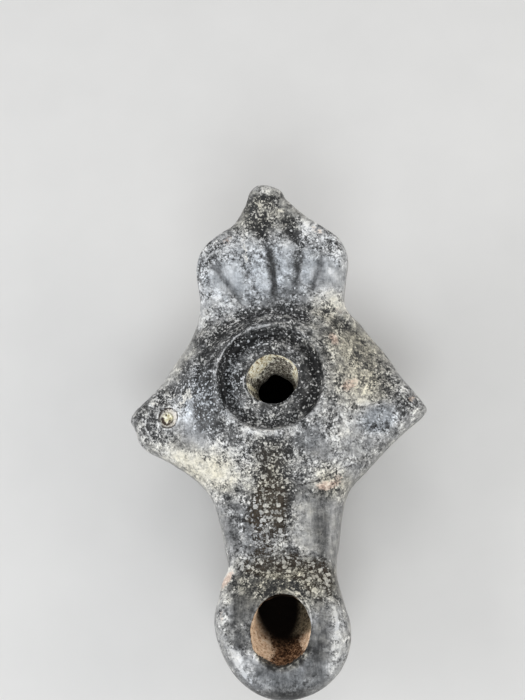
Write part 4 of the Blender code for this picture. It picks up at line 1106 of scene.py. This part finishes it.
class Slip(Graph):
    """Worn dark slip, with its noises over space in millimetres."""

    def __init__(self):
        super().__init__("worn_dark_slip")
        place = self.node("TexCoord", {}).outputs["Object"]
        self.mm = self.vector("MULTIPLY", place, (1.0 / MILLIMETRE,) * 3)
        drift = self.noise(self.mm, 1.4, 2.0, 0.6, "Color")
        self.ragged = self.vector("MULTIPLY_ADD", drift, (1.1, 1.1, 1.1), self.mm)
        self.cluster = self.noise(self.ragged, 0.42, 3.0, 0.55)
        self.mottle = self.noise(self.ragged, 1.1, 6.0, 0.68)
        self.speckle = self.noise(self.mm, 2.1, 3.0, 0.7)
        self.calm = self.mask("calm")
        self.coarse_lime = self.mask("coarse_lime")
        uneven = self.noise(self.mm, 0.33, 2.0, 0.5)
        uneven = self.ramp(uneven, 0.38, 0.62, 0.55 * LIVELIEST, 1.6 * LIVELIEST)
        self.lively = self.times(self.mask("lively"), uneven)

    def patchy(self, name, by_mottle, by_speckle):
        """A mask whose edge is broken up by the noises."""
        return self.vary(self.speckle, by_speckle, self.vary(self.mottle, by_mottle, self.mask(name)))

    def clay(self, spread, *stops):
        """Mottled colours from dark to light."""
        return self.colours(self.vary(self.speckle, spread, self.mottle), *stops)

    def grains(self, scale, amount, size):
        """Lime grains: where they are, the dark lines round them, and a value for each grain."""
        cells = self.node("TexVoronoi", {"Vector": self.ragged, "Scale": scale}, feature="F1")
        parts = self.node("SeparateColor", {0: cells.outputs["Color"]})
        pick, other = parts.outputs[0], parts.outputs[1]
        present = self.ramp(self.less(amount, pick), -0.02, 0.03)
        within = self.less(self.add(other, 0.5 * size, 0.6 * size), cells.outputs["Distance"])
        grain = self.times(present, self.ramp(within, -0.04, 0.10))
        near = self.times(present, self.ramp(within, -0.24, -0.08))
        return grain, self.less(near, grain), other

    def specks(self, where, scale, density):
        """Irregular specks, few where the density is 0 and over a third of the skin where it is 1."""
        return self.ramp(self.add(density, 0.15, self.noise(where, scale, 2.0, 0.55)), 0.68, 0.74)

    def ring(self, distance, radius, outer, inner, noise, low, high):
        """Thin broken ring at a radius from the centre of the lug's hole."""
        off_ring = self.math("ABSOLUTE", self.less(distance, radius))
        return self.times(self.ramp(off_ring, outer, inner), self.ramp(noise, low, high))

    def lightness(self):
        """How light the slip is, with its painted shade and highlights, and where specks, grains and earth
        lie on it.
        """
        lively, speckle, mottle, ragged = self.lively, self.speckle, self.mottle, self.ragged
        stretched = self.vector("MULTIPLY", self.mm, (2.4, 0.35, 1.0))
        level = self.vary(self.noise(self.mm, 0.22, 5.0, 0.6), 0.35, self.mask("tone"))
        blots = self.noise(ragged, 0.75, 2.0, 0.5)
        for noise, by_lively, always in ((self.cluster, 0.60, 0.35), (blots, 0.70, 0.10),
                                         (mottle, 1.35, 0.15), (speckle, 1.05, 0.15)):
            level = self.vary(noise, self.add(lively, by_lively, always), level)
        level = self.vary(self.noise(stretched, 1.0, 4.0, 0.65), self.times(self.calm, 0.40), level)
        # hollows darker with painted shade and dirt; edges lighter where worn
        level = self.add(self.mask("hollow_dirt_and_shade"), -0.08, level)
        level = self.add(self.mask("edge"), 0.10, level)

        flake = self.ramp(self.noise(ragged, 0.55, 3.0, 0.5), 0.50, 0.56)
        outline = self.times(self.times(flake, self.less(1.0, flake)), 4.0)
        flakes = self.mask("flakes")
        level = self.add(self.times(flakes, flake), -0.24, level)
        level = self.add(self.times(flakes, outline), 0.30, level)

        lit = self.vary(self.cluster, 1.6, self.mask("fine_lime"))
        lit = self.times(lit, self.add(self.calm, -0.85, 1.0))
        small = self.specks(self.mm, 1.75, self.add(self.calm, -1.9, lit))
        level = self.blend(self.times(small, 0.85), level, self.vary(speckle, 0.7, 0.88))
        dark = self.specks(ragged, 1.9, self.add(lively, 0.8, -0.1))
        level = self.add(dark, -0.32, level)
        dotted = self.add(self.calm, -0.25, self.times(lit, 0.62))
        dots, shadow, pick = self.grains(1.55, dotted, 0.5)
        level = self.add(shadow, -0.28, level)
        level = self.blend(self.times(dots, 0.95), level, self.add(pick, 0.42, 0.50))
        large, shadow, pick = self.grains(0.88, self.times(self.coarse_lime, 0.80), 0.60)
        lime_level = self.vary(speckle, 0.6, self.add(pick, 0.24, 0.62))
        level = self.add(shadow, -0.20, level)
        level = self.blend(self.times(large, 0.9), level, lime_level)

        # pale lines of bare clay, and painted highlights on the ring and the head's edges
        worn_line_and_highlight = self.ramp(self.vary(speckle, 0.14, self.mask("line_and_highlight_reach")), 0.09, 0.03)
        worn_line_and_highlight = self.times(worn_line_and_highlight, self.ramp(mottle, 0.38, 0.50))
        level = self.blend(self.times(worn_line_and_highlight, 0.85), level, 0.88)
        earth = self.ramp(self.add(self.calm, -0.3, self.patchy("earth", 2.2, 0.8)), 0.32, 0.70)
        earth_level = self.vary(speckle, 0.5, self.vary(mottle, 0.6, 0.90))
        level = self.blend(self.times(earth, 0.85), level, earth_level)
        return level, small, dark, large, earth

    def outside_colour(self, level, large, earth, matte, clay_here):
        warmth_and_sheen = self.vary(self.cluster, 0.6, self.mask("warmth_and_sheen"))
        warmth_and_sheen = self.most(warmth_and_sheen, self.times(earth, 0.6), self.times(large, 0.5))
        # the blue end of this tint is partly a painted sheen
        tint = self.colours(warmth_and_sheen, (0.0, (0.945, 1.0, 1.06)), (0.4, (1.0, 1.0, 0.99)),
                            (1.0, (1.07, 1.0, 0.80)))
        grey = self.colours(level, *((at, (white,) * 3) for at, white in GREYS))
        skin = self.mix(1.0, grey, tint, "MULTIPLY")
        ground = self.colours(self.mottle, (0.35, (0.024, 0.018, 0.013)), (0.62, (0.105, 0.088, 0.070)))
        skin = self.mix(self.times(matte, self.ramp(level, 0.46, 0.06, 0.0, 0.85)), skin, ground)
        clay = self.colours(self.mottle, (0.3, (0.36, 0.25, 0.19)), (0.5, (0.66, 0.47, 0.37)),
                            (0.65, (0.86, 0.74, 0.62)))
        return self.mix(self.times(clay_here, 0.75), skin, clay)

    def holes_colour(self, skin):
        """The same colour with the walls of the three holes, their earth, the crack, and painted shade deep
        inside the holes.
        """
        speckle, mottle = self.speckle, self.mottle
        wall = self.clay(1.4, (0.25, (0.030, 0.020, 0.013)), (0.5, (0.20, 0.18, 0.15)),
                         (0.8, (0.90, 0.86, 0.72)))
        skin = self.mix(self.mask("funnel"), skin, wall)
        crust = self.clay(0.8, (0.36, (0.30, 0.21, 0.11)), (0.48, (0.86, 0.78, 0.54)),
                          (0.6, (1.0, 0.98, 0.86)))
        crusted = self.times(self.ramp(self.patchy("crust", 2.6, 2.4), 0.36, 0.60), self.mask("funnel"))
        skin = self.mix(self.times(crusted, 0.92), skin, crust)

        soot = self.clay(1.2, (0.3, (0.014, 0.008, 0.005)), (0.5, (0.13, 0.065, 0.034)),
                         (0.75, (0.50, 0.30, 0.17)))
        tan = self.clay(0.7, (0.25, (0.28, 0.15, 0.08)), (0.5, (0.80, 0.56, 0.37)),
                        (0.8, (1.0, 0.88, 0.70)))
        tanned = self.ramp(self.vary(mottle, 2.4, self.mask("tan")), 0.25, 0.85)
        sooty = self.ramp(self.patchy("wick_wall", 0.8, 0.6), 0.4, 0.6)
        skin = self.mix(sooty, skin, self.mix(tanned, soot, tan))

        earth = self.clay(0.9, (0.3, (0.20, 0.15, 0.07)), (0.42, (0.74, 0.67, 0.40)),
                          (0.6, (1.0, 0.97, 0.80)))
        skin = self.mix(self.mask("pit_earth"), skin, earth)
        reach = self.vary(mottle, 0.10, self.mask("pit_reach"))
        pale_ring = self.ring(reach, PALE_RING_RADIUS / PIT_REACH, 0.034, 0.012, speckle, 0.34, 0.50)
        skin = self.mix(self.times(pale_ring, 0.8), skin, (0.80, 0.74, 0.66, 1.0))
        dark_ring = self.ring(reach, DARK_RING_RADIUS / PIT_REACH, 0.032, 0.014, mottle, 0.62, 0.50)
        skin = self.mix(dark_ring, skin, (0.030, 0.020, 0.014, 1.0))
        spots = self.ramp(self.vary(speckle, 1.0, self.mask("pit_dark")), 0.35, 0.65)
        skin = self.mix(spots, skin, (0.05, 0.028, 0.016, 1.0))

        # near black painted shade inside the holes
        skin = self.mix(self.mask("dark_inside"), skin, (0.006, 0.004, 0.003, 1.0))
        # painted dim shade on the wick hole's right wall
        right_wall_shade = self.clay(1.0, (0.3, (0.05, 0.04, 0.025)), (0.65, (0.38, 0.31, 0.21)))
        skin = self.mix(self.mask("right_wall_shade"), skin, right_wall_shade)
        crack = self.ramp(self.vary(speckle, 0.24, self.mask("crack")), 0.07, 0.01)
        return self.mix(crack, skin, (0.020, 0.016, 0.014, 1.0))

    def build(self):
        level, small, dark, large, earth = self.lightness()
        matte = self.ramp(self.coarse_lime, 0.05, 0.35)
        clay_here = self.ramp(self.patchy("bare_clay", 1.4, 0.6), 0.34, 0.72)
        skin = self.outside_colour(level, large, earth, matte, clay_here)
        self.link(self.holes_colour(skin), self.shader.inputs["Base Color"])

        dusty = self.most(small, large, earth, clay_here)
        inner = self.most(self.mask("funnel"), self.mask("wick_wall"), self.mask("dark_inside"))
        rough = self.add(self.mottle, 0.5, self.add(self.lively, 0.12, 0.12))
        rough = self.most(rough, self.times(dusty, 0.8), self.times(inner, 0.95))
        self.link(rough, self.shader.inputs["Roughness"])
        shine = self.add(self.most(inner, matte), -0.45, 0.5)
        self.link(shine, self.shader.inputs["Specular IOR Level"])

        height = self.add(self.mottle, 0.8, self.times(self.speckle, 0.4))
        height = self.times(height, self.add(self.lively, 0.6, 0.4))
        height = self.add(dark, -0.3, self.add(dusty, 0.6, height))
        look = {"Strength": 0.6, "Distance": 0.14 * MILLIMETRE, "Height": height}
        self.link(self.node("Bump", look).outputs[0], self.shader.inputs["Normal"])
        return self.material


# ---------------- floor, light and camera
# In metres and watts
FLOOR_COLOUR = (0.74, 0.73, 0.71)
FLOOR_HALF_SIZE = 1.5
LIGHTS = (
    ("front_box", (0.02, -0.42, 0.46), (0.36, 0.26), 1.3, (0.94, 0.97, 1.0)),
    ("left_box", (-0.55, -0.02, 0.22), (0.35, 0.30), 1.8, (0.97, 0.98, 1.0)),
    ("right_box", (0.55, 0.02, 0.24), (0.35, 0.30), 1.3, (1.0, 0.98, 0.95)),
    ("back_box", (0.0, 0.45, 0.45), (0.3, 0.2), 0.5, (1.0, 1.0, 1.0)),
)
LIGHTS_AIM = (0.0, -0.013, 0.02)
CAMERA_TARGET = (-0.00154, 0.00667, 0.031)
CAMERA_DISTANCE = 0.300
CAMERA_LENS = 65.9
CAMERA_AZIMUTH = 15.0
CAMERA_ELEVATION = 72.0
CAMERA_ROLL = -17.639


def pale_floor():
    material = Graph("pale_floor")
    grain = material.noise(material.node("TexCoord", {}).outputs["Object"], 60.0, 3.0, 0.5)
    low, high = (tuple(share * c for c in FLOOR_COLOUR) for share in (0.97, 1.0))
    material.link(material.colours(grain, (0.3, low), (0.7, high)), material.shader.inputs["Base Color"])
    material.shader.inputs["Roughness"].default_value = 0.85
    mesh = bpy.data.meshes.new("floor")
    half = FLOOR_HALF_SIZE
    mesh.from_pydata([(-half, -half, 0.0), (half, -half, 0.0), (half, half, 0.0), (-half, half, 0.0)],
                     [], [(0, 1, 2, 3)])
    mesh.materials.append(material.material)
    floor = placed("floor", mesh)


def softbox(name, place, size, energy, colour):
    light = bpy.data.lights.new(name, "AREA")
    light.shape = "RECTANGLE"
    light.size, light.size_y = size
    light.energy = energy
    light.color = colour
    holder = placed(name, light)
    holder.location = place
    aim = Vector(LIGHTS_AIM) - Vector(place)
    holder.rotation_euler = aim.to_track_quat("-Z", "Y").to_euler()


def studio_light():
    world = bpy.data.worlds.new("studio")
    bpy.context.scene.world = world
    world.use_nodes = True
    background = world.node_tree.nodes["Background"]
    background.inputs["Color"].default_value = (0.95, 0.97, 1.0, 1.0)
    background.inputs["Strength"].default_value = 0.45
    for light in LIGHTS:
        softbox(*light)


def camera():
    """Looks down steeply from a little to the right of the nozzle, turned about its line of sight."""
    azimuth, elevation, roll = map(math.radians, (CAMERA_AZIMUTH, CAMERA_ELEVATION, CAMERA_ROLL))
    back = Vector((math.sin(azimuth) * math.cos(elevation), -math.cos(azimuth) * math.cos(elevation),
                   math.sin(elevation)))
    level = Vector((0.0, 0.0, 1.0)).cross(back).normalized()
    rise = back.cross(level)
    right = level * math.cos(roll) + rise * math.sin(roll)
    up = rise * math.cos(roll) - level * math.sin(roll)
    data = bpy.data.cameras.new("camera")
    data.lens = CAMERA_LENS
    data.sensor_width = 36.0
    data.clip_start = 0.01
    holder = placed("camera", data)
    turn = Matrix((right, up, back)).transposed().to_4x4()
    holder.matrix_world = Matrix.Translation(Vector(CAMERA_TARGET) + back * CAMERA_DISTANCE) @ turn
    bpy.context.scene.camera = holder


# ---------------- build
lamp = hollow_lamp()
weather(lamp)
lamp.data.materials.clear()
lamp.data.materials.append(Slip().build())
lamp.data.shade_smooth()
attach(lamp, "root")
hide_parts("lamp_body")

pale_floor()
studio_light()
camera()
bpy.context.scene.view_settings.view_transform = "Standard"
